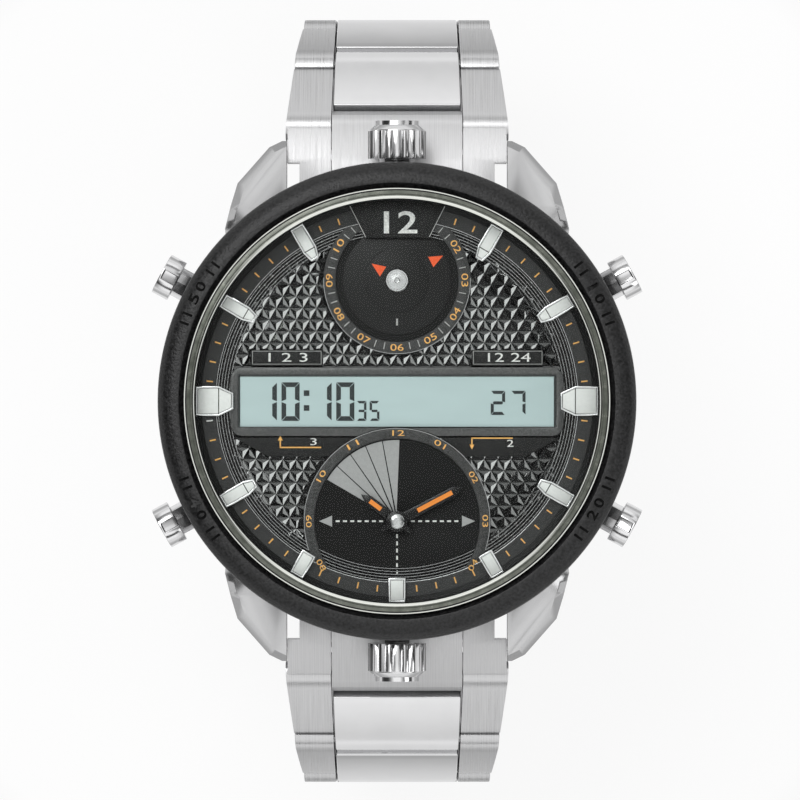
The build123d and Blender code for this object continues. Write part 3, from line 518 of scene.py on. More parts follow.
def coat_node(node, material):
    """Gives a CAD node that stays as it is a better material."""
    NODES[node].data.materials.clear()
    NODES[node].data.materials.append(material)


def at(centre, radius, clock):
    """Place at a radius and clock angle round a centre."""
    turn = radians(clock)
    return (centre[0] + radius * sin(turn), centre[1] + radius * cos(turn))


# Pieces

class WATCH_OT_bezel(bpy.types.Operator):
    """Adds the coated bezel with its slopes and its cut numerals"""
    bl_idname = "watch.bezel"
    bl_label = "Bezel"

    def execute(self, context):
        sizes = context.scene.watch_bezel
        outer = BEZEL_HIGH[0]
        bore = CRYSTAL_HIGH[0] + 0.05 * MM
        low = BEZEL_LOW[2]
        top = BEZEL_HIGH[2]
        profile = [
            (bore, low),
            (outer - 0.3 * MM, low),
            (outer, low + 0.3 * MM),
            (outer, top - 1.55 * MM),
            (outer - 0.12 * MM, top - 1.2 * MM),
            (outer - 0.55 * MM, top - 0.62 * MM),
            (outer - 0.8 * MM, top - 0.42 * MM),
            (outer - 1.4 * MM, top - 0.16 * MM),
            (sizes.face_inner + 0.1 * MM, top - 0.02 * MM),
            (sizes.face_inner, top - 0.05 * MM),
            (bore + 0.1 * MM, top - 0.5 * MM),
            (bore, top - 0.55 * MM),
        ]
        ring = turned("bezel_ring", profile, steps=256)
        cutter = joined("numeral_cutter", self.cuts(sizes, top))
        pick(ring)
        cut = ring.modifiers.new("Cut", "BOOLEAN")
        cut.operation = "DIFFERENCE"
        cut.solver = "EXACT"
        cut.object = cutter
        bpy.ops.object.modifier_apply(modifier=cut.name)
        bpy.data.objects.remove(cutter)
        coat = coated("bezel coat", tuple(sizes.coat), 0.3, 0.42, 3400, 1.0, 1.0, 0.07 * MM, 0.6)
        finished(ring, coat, "head", 28)
        ring.data.materials.append(coated("bezel cut", (0.003, 0.003, 0.003), 0.0, 0.5, shine=0.1))
        for face in ring.data.polygons:
            level = face.normal.z > 0.95 and face.center.z < top - 0.42 * MM
            if level and hypot(face.center.x, face.center.y) < outer - 0.85 * MM:
                face.material_index = 1
        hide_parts("bezel")
        return {"FINISHED"}

    def cuts(self, sizes, top):
        """Numerals and short bars for the bezel's face, each on its own clock angle."""
        reach = 24.35 * MM
        height = sizes.numeral_size
        marks = []
        for words, clock in (("10", 61.5), ("20", 118.5), ("40", 241.5), ("50", 298.5)):
            low_half = 90 < clock < 270
            for digit, step in zip(words, (-1.75, 1.75)):
                turn = clock - step if low_half else clock + step
                x, y = at((0, 0), reach, turn)
                turn += 180 if low_half else 0
                width = 0.36 * MM if digit == "1" else 1.0 * MM
                marks.append(lettering("cut", digit, height, width, (x, y, top), turn, 0.9 * MM, 0.00004))
            for step in (-8.4, -6.0, 6.0, 8.4):
                side = Vector(at((0, 0), 0.13 * MM, clock + step + 90))
                near = Vector(at((0, 0), reach - height / 2, clock + step))
                far = Vector(at((0, 0), reach + height / 2, clock + step))
                marks.append(slab("bar", [near - side, far - side, far + side, near + side],
                                  top - 0.45 * MM, 0.9 * MM))
        return marks


class WATCH_OT_crystal(bpy.types.Operator):
    """Adds the glass with its ground rim and the bright line where it meets the bezel"""
    bl_idname = "watch.crystal"
    bl_label = "Crystal"

    def execute(self, context):
        radius = CRYSTAL_HIGH[0]
        top = CRYSTAL_HIGH[2]
        low = CRYSTAL_LOW[2]
        flat = radius - 1.15 * MM
        disc = turned("crystal_disc", [
            (0, top - 0.3 * MM),
            (0, top),
            (flat, top),
            (flat, top - 0.3 * MM),
        ], steps=192)
        finished(disc, clear_glass(), "head", 30)
        bright = turned("crystal_lip", [
            (flat + 0.01 * MM, top - 0.2 * MM),
            (flat + 0.01 * MM, top - 0.04 * MM),
            (flat + 0.06 * MM, top),
            (flat + 0.14 * MM, top),
            (flat + 0.3 * MM, top - 0.12 * MM),
            (flat + 0.3 * MM, top - 0.2 * MM),
        ], steps=192)
        finished(bright, polished_steel("lip steel", 0.12, tint=(1.0, 1.02, 0.95)), "head", 20)
        wall = turned("crystal_wall", [
            (flat + 0.01 * MM, low),
            (flat + 0.01 * MM, top - 0.3 * MM),
            (flat + 0.3 * MM, top - 0.3 * MM),
            (flat + 0.3 * MM, low),
        ], steps=192)
        black = coated("seal black", (0.006, 0.006, 0.006), 0.0, 0.4, shine=0.3)
        finished(wall, black, "head", 20)
        rim = turned("crystal_rim", [
            (flat + 0.3 * MM, low),
            (flat + 0.3 * MM, top - 0.13 * MM),
            (flat + 0.4 * MM, top - 0.16 * MM),
            (flat + 0.41 * MM, top - 0.5 * MM),
            (flat + 0.51 * MM, top - 0.5 * MM),
            (flat + 0.52 * MM, top - 0.21 * MM),
            (flat + 0.6 * MM, top - 0.24 * MM),
            (flat + 0.64 * MM, top - 0.28 * MM),
            (flat + 0.88 * MM, top - 0.36 * MM),
            (flat + 0.88 * MM, low),
        ], steps=192)
        finished(rim, bevel_glass(), "head", 20)
        seal = turned("crystal_seal", [
            (flat + 0.88 * MM, low),
            (flat + 0.88 * MM, top - 0.5 * MM),
            (radius - 0.12 * MM, top - 0.5 * MM),
            (radius - 0.1 * MM, top - 0.4 * MM),
            (radius, top - 0.42 * MM),
            (radius, low),
        ], steps=192)
        finished(seal, black, "head", 20)
        edge = turned("crystal_edge", [
            (radius - 0.12 * MM, top - 0.5 * MM),
            (radius - 0.12 * MM, top - 0.38 * MM),
            (radius - 0.01 * MM, top - 0.38 * MM),
            (radius - 0.01 * MM, top - 0.5 * MM),
        ], steps=192)
        finished(edge, polished_steel("lip steel", 0.12, tint=(1.0, 1.02, 0.95)), "head", 20)
        for piece in (disc, bright, wall, rim, seal, edge):
            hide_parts("crystal")
        return {"FINISHED"}


class WATCH_OT_minute_track(bpy.types.Operator):
    """Adds the sloped minute track, its wall, its ticks and the fine ridges inside it"""
    bl_idname = "watch.minute_track"
    bl_label = "Minute track"

    def execute(self, context):
        sizes = context.scene.watch_dial
        inner = 19.5 * MM
        outer = 21.05 * MM
        wall = 21.75 * MM
        track = turned("minute_track", [
            (inner, DIAL_TOP),
            (outer, DIAL_TOP),
            (outer, TRACK_TOP),
            (inner + 0.06 * MM, DIAL_TOP + 0.36 * MM),
            (inner, DIAL_TOP + 0.3 * MM),
        ])
        grey = coated("track coat", (0.05, 0.05, 0.05), 0.1, 0.55, 4500, 0.3, 0.4, 0.008 * MM, 0.2)
        finished(track, grey, "head", 25)
        edge = turned("track_edge", [
            (inner - 0.02 * MM, DIAL_TOP + 0.2 * MM),
            (inner - 0.02 * MM, DIAL_TOP + 0.37 * MM),
            (inner + 0.05 * MM, DIAL_TOP + 0.38 * MM),
            (inner + 0.05 * MM, DIAL_TOP + 0.2 * MM),
        ])
        finished(edge, polished_steel("edge metal", 0.25, (0.55, 0.55, 0.55)), "head", 25)
        well = turned("flange_wall", [
            (outer + 0.01 * MM, DIAL_TOP),
            (CRYSTAL_HIGH[0], DIAL_TOP),
            (CRYSTAL_HIGH[0], CRYSTAL_LOW[2]),
            (wall - 0.1 * MM, CRYSTAL_LOW[2]),
            (wall - 0.1 * MM, TRACK_TOP + 0.2 * MM),
            (outer + 0.01 * MM, TRACK_TOP),
        ])
        finished(well, coated("flange black", (0.008, 0.008, 0.008), 0, 0.4, 3000, shine=0.15), "head", 25)
        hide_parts("inner_flange")
        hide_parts("inner_flange")
        self.add_ticks(sizes, inner, outer)
        self.add_ridges(sizes, inner)
        return {"FINISHED"}

    def add_ticks(self, sizes, inner, outer):
        """One short line for each minute, and a pale one just below 9 o'clock."""
        half = 0.075 * MM
        low = inner + 0.45 * MM
        high = inner + 1.13 * MM
        slope = (TRACK_TOP - DIAL_TOP - 0.36 * MM) / (outer - inner)
        height = DIAL_TOP + 0.36 * MM + slope * (low - inner)
        tick = slab("minute_ticks", [(-half, low), (half, low), (half, high), (-half, high)], height, 0.05 * MM)
        for vertex in tick.data.vertices:
            vertex.co.z += slope * (vertex.co.y - low)
        pale = tick.copy()
        pale.data = tick.data.copy()
        pale.name = "pale_tick"
        bpy.context.collection.objects.link(pale)
        turns = [6 * minute for minute in range(60) if minute % 5 and minute != 44]
        ticks = spun_copies(tick, turns)
        paint = coated("orange print", tuple(sizes.print_colour), 0.0, 0.5, 3000, 0.12)
        finished(ticks, paint, "head")
        finished(spun_copies(pale, [264]), coated("white print", (0.8, 0.8, 0.78), 0, 0.5), "head")

    def add_ridges(self, sizes, outer):
        """Fine rings between the minute track and the pattern."""
        inner = sizes.ridge_inner
        step = (outer - inner) / sizes.ridge_count
        profile = [(outer, DIAL_TOP), (inner, DIAL_TOP), (inner, DIAL_TOP + 0.16 * MM)]
        for count in range(sizes.ridge_count):
            start = inner + count * step
            profile.append((start + 0.25 * step, DIAL_TOP + 0.34 * MM))
            profile.append((start + 0.45 * step, DIAL_TOP + 0.34 * MM))
            profile.append((start + 0.58 * step, DIAL_TOP + 0.14 * MM))
            profile.append((start + 0.98 * step, DIAL_TOP + 0.14 * MM))
        ridges = turned("dial_ridges", profile)
        coat = coated("ridge coat", (0.3, 0.3, 0.3), 1.0, 0.25, 3000, 0.2, 0.1)
        finished(ridges, coat, "head", 20)
        # The faces low in the grooves between the ridges are near-black: painted shade
        ridges.data.materials.append(coated("ridge groove shade", (0.01, 0.01, 0.01), 0.0, 0.5, shine=0.2))
        for face in ridges.data.polygons:
            if face.center.z < DIAL_TOP + 0.2 * MM:
                face.material_index = 1


class WATCH_OT_dial_pattern(bpy.types.Operator):
    """Adds the field of small three-sided pyramids that covers the dial"""
    bl_idname = "watch.dial_pattern"
    bl_label = "Dial pattern"

    def execute(self, context):
        sizes = context.scene.watch_dial
        reach = sizes.ridge_inner
        pitch = sizes.pitch
        row = pitch * sqrt(3) / 2
        rows = int(reach / row) + 1
        columns = int(reach / pitch) + 2
        start_clean()
        # The pyramids stand slightly apart, so that the near-black ground shows between them as painted shade in their
        # valleys
        bpy.ops.mesh.primitive_cone_add(
            vertices=3, radius1=0.97 * pitch / sqrt(3), depth=sizes.height,
            location=(0, 0, DIAL_TOP + sizes.height / 2), rotation=(0, 0, 0))
        pyramid = bpy.context.object
        settle(pyramid)
        upside = pyramid.data.copy()
        upside.transform(Matrix.Rotation(radians(180), 4, "Z"))
        copies = []
        for line in range(-rows, rows + 1):
            shift = pitch / 2 if line % 2 else 0
            for column in range(-columns, columns + 1):
                corner = column * pitch + shift
                for mesh, x, y in (
                    (pyramid.data, corner + pitch / 2, line * row + row / 3),
                    (upside, corner, line * row + 2 * row / 3),
                ):
                    if self.covered(x, y, reach, pitch):
                        continue
                    copy = pyramid.copy()
                    copy.data = mesh.copy()
                    copy.data.transform(Matrix.Translation((x, y, 0)))
                    bpy.context.collection.objects.link(copy)
                    copies.append(copy)
        bpy.data.objects.remove(pyramid)
        field = joined("dial_pyramids", copies)
        coat = coated("dial coat", tuple(sizes.coat), 1.0, 0.09, 2500, 0.06, 0.02, 0.002 * MM)
        pick(field)
        field.data.materials.append(coat)
        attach(field, "head")
        # Near-black ground of the dial: where it shows between the pyramids it is painted shade in their valleys
        coat_node("dial_plate", coated("dial ground and valley shade", (0.008, 0.008, 0.008), 0, 0.5, shine=0.2))
        return {"FINISHED"}

    def covered(self, x, y, reach, pitch):
        """True where another piece of the dial stands over the pattern."""
        if hypot(x, y) > reach + 0.35 * pitch:
            return True
        if hypot(x - UPPER[0], y - UPPER[1]) < 7.6 * MM:
            return True
        if hypot(x - LOWER[0], y - LOWER[1]) < 9.6 * MM:
            return True
        return FRAME_LOW[1] + 0.3 * pitch < y < FRAME_HIGH[1] - 0.3 * pitch


class WATCH_OT_small_dials(bpy.types.Operator):
    """Adds the two dial rings with their numerals, the fan, dashes and arrowheads"""
    bl_idname = "watch.small_dials"
    bl_label = "Small dials"

    def execute(self, context):
        sizes = context.scene.watch_dial
        speckle = coated("ring coat", (0.06, 0.06, 0.06), 0.2, 0.5, 5200, 0.5, 0.6, 0.01 * MM, 0.25)
        dark = coated("upper ring coat", (0.06, 0.06, 0.06), 0.1, 0.5, 5200, 0.3, 0.4, 0.008 * MM, 0.25)
        worked_copy("upper_ring", "upper_ring_rounded", 0.06 * MM, dark)
        lower = worked_copy("lower_ring", "lower_ring_rounded", 0.07 * MM, speckle)
        lower.data.materials.append(coated("small dial black", (0.014, 0.014, 0.014), 0.0, 0.5, 3500, 0.2, shine=0.1))
        ring_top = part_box("lower_ring")[1][2]
        for face in lower.data.polygons:
            if face.normal.z > 0.9 and face.center.z < ring_top - 0.08 * MM:
                face.material_index = 1
        orange = coated("orange print", tuple(sizes.print_colour), 0.0, 0.5, 3000, 0.12)
        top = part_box("upper_ring")[1][2]
        outward = {10: 300, 9: 270, 2: 60, 3: 90}
        inward = {4: 120, 5: 150, 6: 180, 7: 210, 8: 240}
        numerals = []
        for hour, clock in (outward | inward).items():
            turn = clock + (180 if hour in inward else 0)
            x, y = at(UPPER, 7.26 * MM, clock)
            numerals.append(lettering("n", f"{hour:02d}", 0.72 * MM, 1.42 * MM, (x, y, top), turn))
        finished(joined("upper_numerals", numerals), orange, "head")
        self.add_ring_ticks(top)
        self.add_lower(orange)
        return {"FINISHED"}

    def add_ring_ticks(self, top):
        """Two pale lines between neighbouring numerals of the upper ring."""
        low = UPPER[1] + 6.8 * MM
        high = UPPER[1] + 7.55 * MM
        half = 0.05 * MM
        tick = slab("ring_ticks", [(-half, low), (half, low), (half, high), (-half, high)], top, 0.03 * MM)
        turns = []
        for hour in range(2, 10):
            turns += [30 * hour + 11, 30 * hour + 19]
        turns += [41, 49, 311, 319]
        ticks = spun_copies(tick, turns, UPPER)
        finished(ticks, coated("pale print", (0.5, 0.5, 0.49), 0, 0.5), "head")
        metal = polished_steel("edge metal", 0.25, (0.55, 0.55, 0.55))
        line = arc_line("upper_ring_edge", UPPER, 7.93 * MM, (88, 272), 0.06 * MM, top - 0.05 * MM, 0.055 * MM)
        finished(line, metal, "head")
        line = arc_line("lower_ring_edge", LOWER, 10.04 * MM, (-108, 108), 0.06 * MM, top - 0.05 * MM, 0.055 * MM)
        finished(line, metal, "head")

    def add_lower(self, orange):
        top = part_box("lower_ring")[1][2]
        numerals = []
        for hour in (12, 1, 2, 3, 4, 8, 9, 10, 11):
            clock = 30 * hour % 360
            turn = clock + (180 if hour in (4, 8) else 0)
            x, y = at(LOWER, 9.47 * MM, clock)
            numerals.append(lettering("n", f"{hour:02d}", 0.6 * MM, 1.3 * MM, (x, y, top), turn))
        finished(joined("lower_numerals", numerals), orange, "head")
        floor = DIAL_TOP + 0.15 * MM
        reach = 8.75 * MM
        bounds = (-59.5, -47.4, -35.0, -22.8, -10.4, 2.0)
        sectors = []
        for low, high in zip(bounds, bounds[1:]):
            arc = [at(LOWER, reach, low + 0.3 + (high - low - 0.6) * part / 6) for part in range(7)]
            hub = at(LOWER, 0.7 * MM, (low + high) / 2)
            sectors.append(slab("sector", [hub, *arc], floor, 0.04 * MM))
        fan = joined("dial_fan", sectors)
        finished(fan, coated("fan print", (0.4, 0.4, 0.4), 0.0, 0.5, 2500, 0.06), "head")
        dashes = []
        for clock in (90, 270):
            for count in range(7):
                dashes.append(self.dash(clock, (1.5 + 0.78 * count) * MM, floor))
        for count in range(6):
            dashes.append(self.dash(180, (1.4 + 0.78 * count) * MM, floor))
        lines = joined("dial_dashes", dashes)
        finished(lines, coated("white print", (0.8, 0.8, 0.78), 0, 0.5), "head")
        heads = []
        for clock in (90, 270):
            tip = at(LOWER, 8.4 * MM, clock)
            side = Vector(at((0, 0), 0.6 * MM, clock + 90))
            base = Vector(at(LOWER, 7.0 * MM, clock))
            heads.append(slab("head", [tip, base + side, base - side], floor, 0.05 * MM))
        arrows = joined("dial_arrowheads", heads)
        finished(arrows, coated("fan print", (0.4, 0.4, 0.4), 0.0, 0.5, 2500, 0.06), "head")

    def dash(self, clock, start, floor):
        half = 0.09 * MM
        along = [(-half, start), (half, start), (half, start + 0.42 * MM), (-half, start + 0.42 * MM)]
        turn = Matrix.Rotation(-radians(clock), 2)
        points = [Vector(LOWER) + turn @ Vector(point) for point in along]
        return slab("dash", points, floor, 0.05 * MM)


SEGMENTS = {
    "0": "abcdef", "1": "bc", "2": "abged", "3": "abgcd", "5": "afgcd", "7": "abc",
}


class WATCH_OT_display(bpy.types.Operator):
    """Adds the display's frame, its pale glass and its digits"""
    bl_idname = "watch.display"
    bl_label = "Display"

    def execute(self, context):
        sizes = context.scene.watch_display
        metal = coated("frame coat", (0.095, 0.095, 0.095), 0.5, 0.38, 5200, 0.3, 0.4, 0.008 * MM)
        worked_copy("display_frame", "display_frame_rounded", 0.08 * MM, metal)
        coat_node("display_panel", display_glass())
        large = sizes.large_height
        small = sizes.small_height
        low = -2.14 * MM
        digits = []
        for character, left in (("1", -14.9), ("0", -12.45), ("1", -9.0), ("0", -6.55)):
            digits += self.digit(character, left * MM, low, 1.95 * MM, large, 0.5 * MM)
        for character, left in (("3", -4.35), ("5", -2.95)):
            digits += self.digit(character, left * MM, low, 1.05 * MM, small, 0.26 * MM)
        for character, left in (("2", 10.1), ("7", 12.3)):
            digits += self.digit(character, left * MM, -1.5 * MM, 1.55 * MM, 2.6 * MM, 0.33 * MM)
        for height in (-0.75, 0.85):
            digits.append(self.dot(-9.75 * MM, height * MM, 0.3 * MM))
        ink = coated("display ink", (0.008, 0.016, 0.018), 0.0, 0.35, 2500, 0.2)
        finished(joined("display_digits", digits), ink, "head")
        return {"FINISHED"}

    def dot(self, x, y, half):
        return slab("dot", [(x - half, y - half), (x + half, y - half), (x + half, y + half), (x - half, y + half)],
                    PANEL_HIGH[2], 0.03 * MM)

    def digit(self, character, left, low, width, height, weight):
        """Bars of one digit, mitred where they meet."""
        gap = 0.05 * MM
        right = left + width
        middle = low + height / 2
        high = low + height
        half = weight / 2
        bars = {
            "a": [(left + gap, high), (right - gap, high), (right - weight, high - weight), (left + weight, high - weight)],
            "d": [(left + gap, low), (left + weight, low + weight), (right - weight, low + weight), (right - gap, low)],
            "b": [(right, high - gap), (right, middle + gap), (right - weight, middle + half), (right - weight, high - weight - gap)],
            "c": [(right, middle - gap), (right, low + gap), (right - weight, low + weight + gap), (right - weight, middle - half)],
            "f": [(left, high - gap), (left + weight, high - weight - gap), (left + weight, middle + half), (left, middle + gap)],
            "e": [(left, middle - gap), (left + weight, middle - half), (left + weight, low + weight + gap), (left, low + gap)],
            "g": [(left + gap + half, middle), (left + weight, middle + half), (right - weight, middle + half),
                  (right - gap - half, middle), (right - weight, middle - half), (left + weight, middle - half)],
        }
        return [slab("bar", bars[key], PANEL_HIGH[2], 0.03 * MM) for key in SEGMENTS[character]]


class WATCH_OT_hour_markers(bpy.types.Operator):
    """Dresses the hour markers and their white filling"""
    bl_idname = "watch.hour_markers"
    bl_label = "Hour markers"

    def execute(self, context):
        worked_copy("hour_markers", "hour_marker_frames", 0.05 * MM, polished_steel("marker steel", 0.12))
        white = coated("white lume", (0.93, 0.94, 0.92), 0.0, 0.5, 2500, 0.03, 0.2)
        worked_copy("marker_lume", "hour_marker_lume", 0.04 * MM, white)
        self.add_creases()
        return {"FINISHED"}

    def add_creases(self):
        """A fine line of painted shade across each long marker, at the crease where its taper begins."""
        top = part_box("marker_lume")[1][2]
        lines = []
        for turns, half, place in (((30, 60, 120, 240, 300, 330), 0.6, 18.8), ((90, 270), 1.38, 19.2)):
            low = (place - 0.05) * MM
            high = (place + 0.05) * MM
            line = slab("crease", [(-half * MM, low), (half * MM, low), (half * MM, high), (-half * MM, high)],
                        top, 0.02 * MM)
            lines.append(spun_copies(line, turns))
        # Near-black lines: painted shade at the creases
        finished(joined("marker_creases", lines), coated("painted crease shade", (0.02, 0.02, 0.02), 0, 0.5), "head")


class WATCH_OT_discs(bpy.types.Operator):
    """Dresses the upper small dial's discs, with their pointers and turned hub"""
    bl_idname = "watch.discs"
    bl_label = "Turning discs"

    def execute(self, context):
        black = coated("disc black", (0.014, 0.014, 0.014), 0.0, 0.45, 3500, 0.15, shine=0.25)
        worked_copy("minute_disc", "minute_disc_rounded", 0.06 * MM, black)
        worked_copy("hour_disc", "hour_disc_rounded", 0.02 * MM, black)
        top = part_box("disc_hub")[0][2]
        hub = turned("disc_hub_turned", [
            (0, top),
            (1.26 * MM, top),
            (1.26 * MM, top + 0.28 * MM),
            (1.16 * MM, top + 0.38 * MM),
            (1.02 * MM, top + 0.38 * MM),
            (0.98 * MM, top + 0.33 * MM),
            (0.9 * MM, top + 0.33 * MM),
            (0.3 * MM, top + 0.40 * MM),
            (0.24 * MM, top + 0.24 * MM),
            (0, top + 0.2 * MM),
        ], UPPER, 96)
        finished(hub, turned_steel("hub steel", 0.2, 0.85), "hour_disc")
        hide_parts("disc_hub")
        orange = coated("pointer orange", (1.0, 0.11, 0.015), 0.0, 0.45, 2500, 0.06)
        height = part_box("hour_disc")[1][2]
        inner = slab("hour_pointer", [
            (-2.73 * MM, 14.80 * MM), (-1.84 * MM, 13.42 * MM), (-1.16 * MM, 14.47 * MM),
        ], height, 0.04 * MM)
        finished(inner, orange, "hour_disc")
        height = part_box("minute_disc")[1][2]
        outer = slab("minute_pointer", [
            (4.95 * MM, 15.67 * MM), (3.36 * MM, 15.53 * MM), (3.92 * MM, 14.42 * MM),
        ], height, 0.04 * MM)
        finished(outer, orange, "minute_disc")
        return {"FINISHED"}


class WATCH_OT_hands(bpy.types.Operator):
    """Dresses the lower small dial's hands, their orange bars and the silver cap"""
    bl_idname = "watch.hands"
    bl_label = "Hands"

    def execute(self, context):
        black = coated("hand black", (0.008, 0.008, 0.008), 0.4, 0.2, 3000, 0.1)
        orange = coated("hand orange", (1.0, 0.29, 0.03), 0.0, 0.5, 2500, 0.06)
        for name, turn, start, end in (("hour_hand", 306.8, 2.15, 3.65), ("minute_hand", 62.3, 2.5, 6.7)):
            worked_copy(name, f"{name}_rounded", 0.05 * MM, black)
            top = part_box(name)[1][2] if name == "hour_hand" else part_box(name)[1][2] - 0.55 * MM
            half = 0.24 * MM
            points = [(-half, start * MM), (half, start * MM), (half, end * MM), (-half, end * MM)]
            rotation = Matrix.Rotation(-radians(turn), 2)
            bar = slab(f"{name}_bar", [Vector(LOWER) + rotation @ Vector(point) for point in points], top, 0.05 * MM)
            finished(bar, orange, name)
        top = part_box("minute_hand")[1][2]
        cap = turned("hand_cap", [
            (0, top - 0.1 * MM),
            (0.8 * MM, top - 0.1 * MM),
            (0.8 * MM, top + 0.02 * MM),
            (0.7 * MM, top + 0.1 * MM),
            (0.3 * MM, top + 0.13 * MM),
            (0, top + 0.13 * MM),
        ], LOWER, 64)
        finished(cap, turned_steel("cap steel"), "minute_hand")
        return {"FINISHED"}


class WATCH_OT_dial_labels(bpy.types.Operator):
    """Dresses the small plates and adds their lines, arrows and plain numerals"""
    bl_idname = "watch.dial_labels"
    bl_label = "Plates and labels"

    def execute(self, context):
        speckle = coated("plate coat", (0.018, 0.018, 0.018), 0.1, 0.5, 5200, 0.7, 0.5, 0.008 * MM, 0.25)
        worked_copy("dial_plates", "dial_plates_rounded", 0.04 * MM, speckle)
        white = coated("white print", (0.8, 0.8, 0.78), 0, 0.5)
        grey = coated("pale print", (0.45, 0.45, 0.44), 0, 0.5)
        orange = coated("orange print", tuple(context.scene.watch_dial.print_colour), 0.0, 0.5, 3000, 0.12)
        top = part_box("dial_plates")[1][2]
        twelve = lettering("top_numeral", "12", 2.4 * MM, 3.6 * MM, (0, 19.1 * MM, top), weight=0.00004)
        finished(twelve, white, "head")
        low = DIAL_TOP + 0.3 * MM
        labels = [
            lettering("n", "3", 0.75 * MM, 0.7 * MM, (-9.0 * MM, -4.42 * MM, low)),
            lettering("n", "2", 0.75 * MM, 0.7 * MM, (12.2 * MM, -4.6 * MM, low)),
            lettering("n", "1 2 3", 0.95 * MM, 4.2 * MM, (-11.9 * MM, 4.65 * MM, low)),
            lettering("n", "12 24", 0.95 * MM, 4.6 * MM, (11.9 * MM, 4.65 * MM, low)),
        ]
        finished(joined("time_labels", labels), white, "head")
        place = (0, 8.47 * MM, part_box("minute_disc")[1][2])
        finished(lettering("disc_label", "1", 0.72 * MM, 0.2 * MM, place), grey, "minute_disc")
        self.add_borders(grey, low, top)
        half = 0.07 * MM
        lines = []
        for sign, x, y, tip in ((1, -12.58 * MM, -5.0 * MM, -3.85 * MM), (-1, 8.07 * MM, -4.0 * MM, -5.1 * MM)):
            far = x + 4.4 * MM
            lines.append(slab("line", [(x - half, y - half), (far, y - half), (far, y + half), (x - half, y + half)],
                              low, 0.04 * MM))
            lines.append(slab("stem", [(x - half, y), (x + half, y), (x + half, tip), (x - half, tip)][::sign],
                              low, 0.04 * MM))
            lines.append(slab("tip", [(x - 0.26 * MM, tip - sign * 0.4 * MM), (x + 0.26 * MM, tip - sign * 0.4 * MM),
                                      (x, tip + sign * 0.12 * MM)], low, 0.045 * MM))
        finished(joined("time_arrows", lines), orange, "head")
        return {"FINISHED"}

    def add_borders(self, grey, low, top):
        """Fine lines round the two small plates and down the sides of the upper one."""
        lines = []
        for middle in (-11.9, 11.9):
            left, right = (middle - 3.7) * MM, (middle + 3.7) * MM
            near, far = 3.95 * MM, 5.35 * MM
            for x, y, wide, high in (
                (left, near, 7.4 * MM, 0.05 * MM), (left, far, 7.4 * MM, 0.05 * MM),
                (left, near, 0.05 * MM, 1.4 * MM), (right, near, 0.05 * MM, 1.4 * MM),
            ):
                lines.append(slab("line", [(x, y), (x + wide, y), (x + wide, y + high), (x, y + high)], low, 0.02 * MM))
        for sign in (1, -1):
            foot = (sign * 3.42 * MM, 17.65 * MM)
            head = (sign * 5.12 * MM, 21.0 * MM)
            points = [foot, (foot[0] + 0.09 * MM, foot[1]), (head[0] + 0.09 * MM, head[1]), head]
            lines.append(slab("line", points, top, 0.02 * MM))
        finished(joined("plate_borders", lines), grey, "head")


class WATCH_OT_case(bpy.types.Operator):
    """Dresses the case body, the case back, the end links and the lug bars"""
    bl_idname = "watch.case"
    bl_label = "Case"

    def execute(self, context):
        case_steel = polished_steel("case steel", 0.24, tint=(0.78, 0.78, 0.78), patchy=0.05)
        worked_copy("case_body", "case_body_polished", 0, case_steel, 20)
        worked_copy("case_back", "case_back_turned", 0.3 * MM, turned_steel("back steel", 0.25))
        for hour in (12, 6):
            steel = brushed_steel("end link steel", rough=0.45)
            smoothed(worked_copy(f"end_link_{hour}", f"end_link_{hour}_brushed", 0.1 * MM, steel))
        coat_node("lug_bars", polished_steel())
        return {"FINISHED"}


class WATCH_OT_buttons(bpy.types.Operator):
    """Dresses the crowns and the push buttons"""
    bl_idname = "watch.buttons"
    bl_label = "Crowns and push buttons"

    def execute(self, context):
        steel = polished_steel("crown steel", 0.14)
        for hour in (12, 6):
            worked_copy(f"crown_{hour}", f"crown_{hour}_fluted", 0.07 * MM, steel)
            coat_node(f"setting_collar_{hour}", brushed_steel())
        for clock in (2, 4, 8, 10):
            worked_copy(f"pusher_{clock}", f"pusher_{clock}_cap", 0.16 * MM, steel)
        return {"FINISHED"}


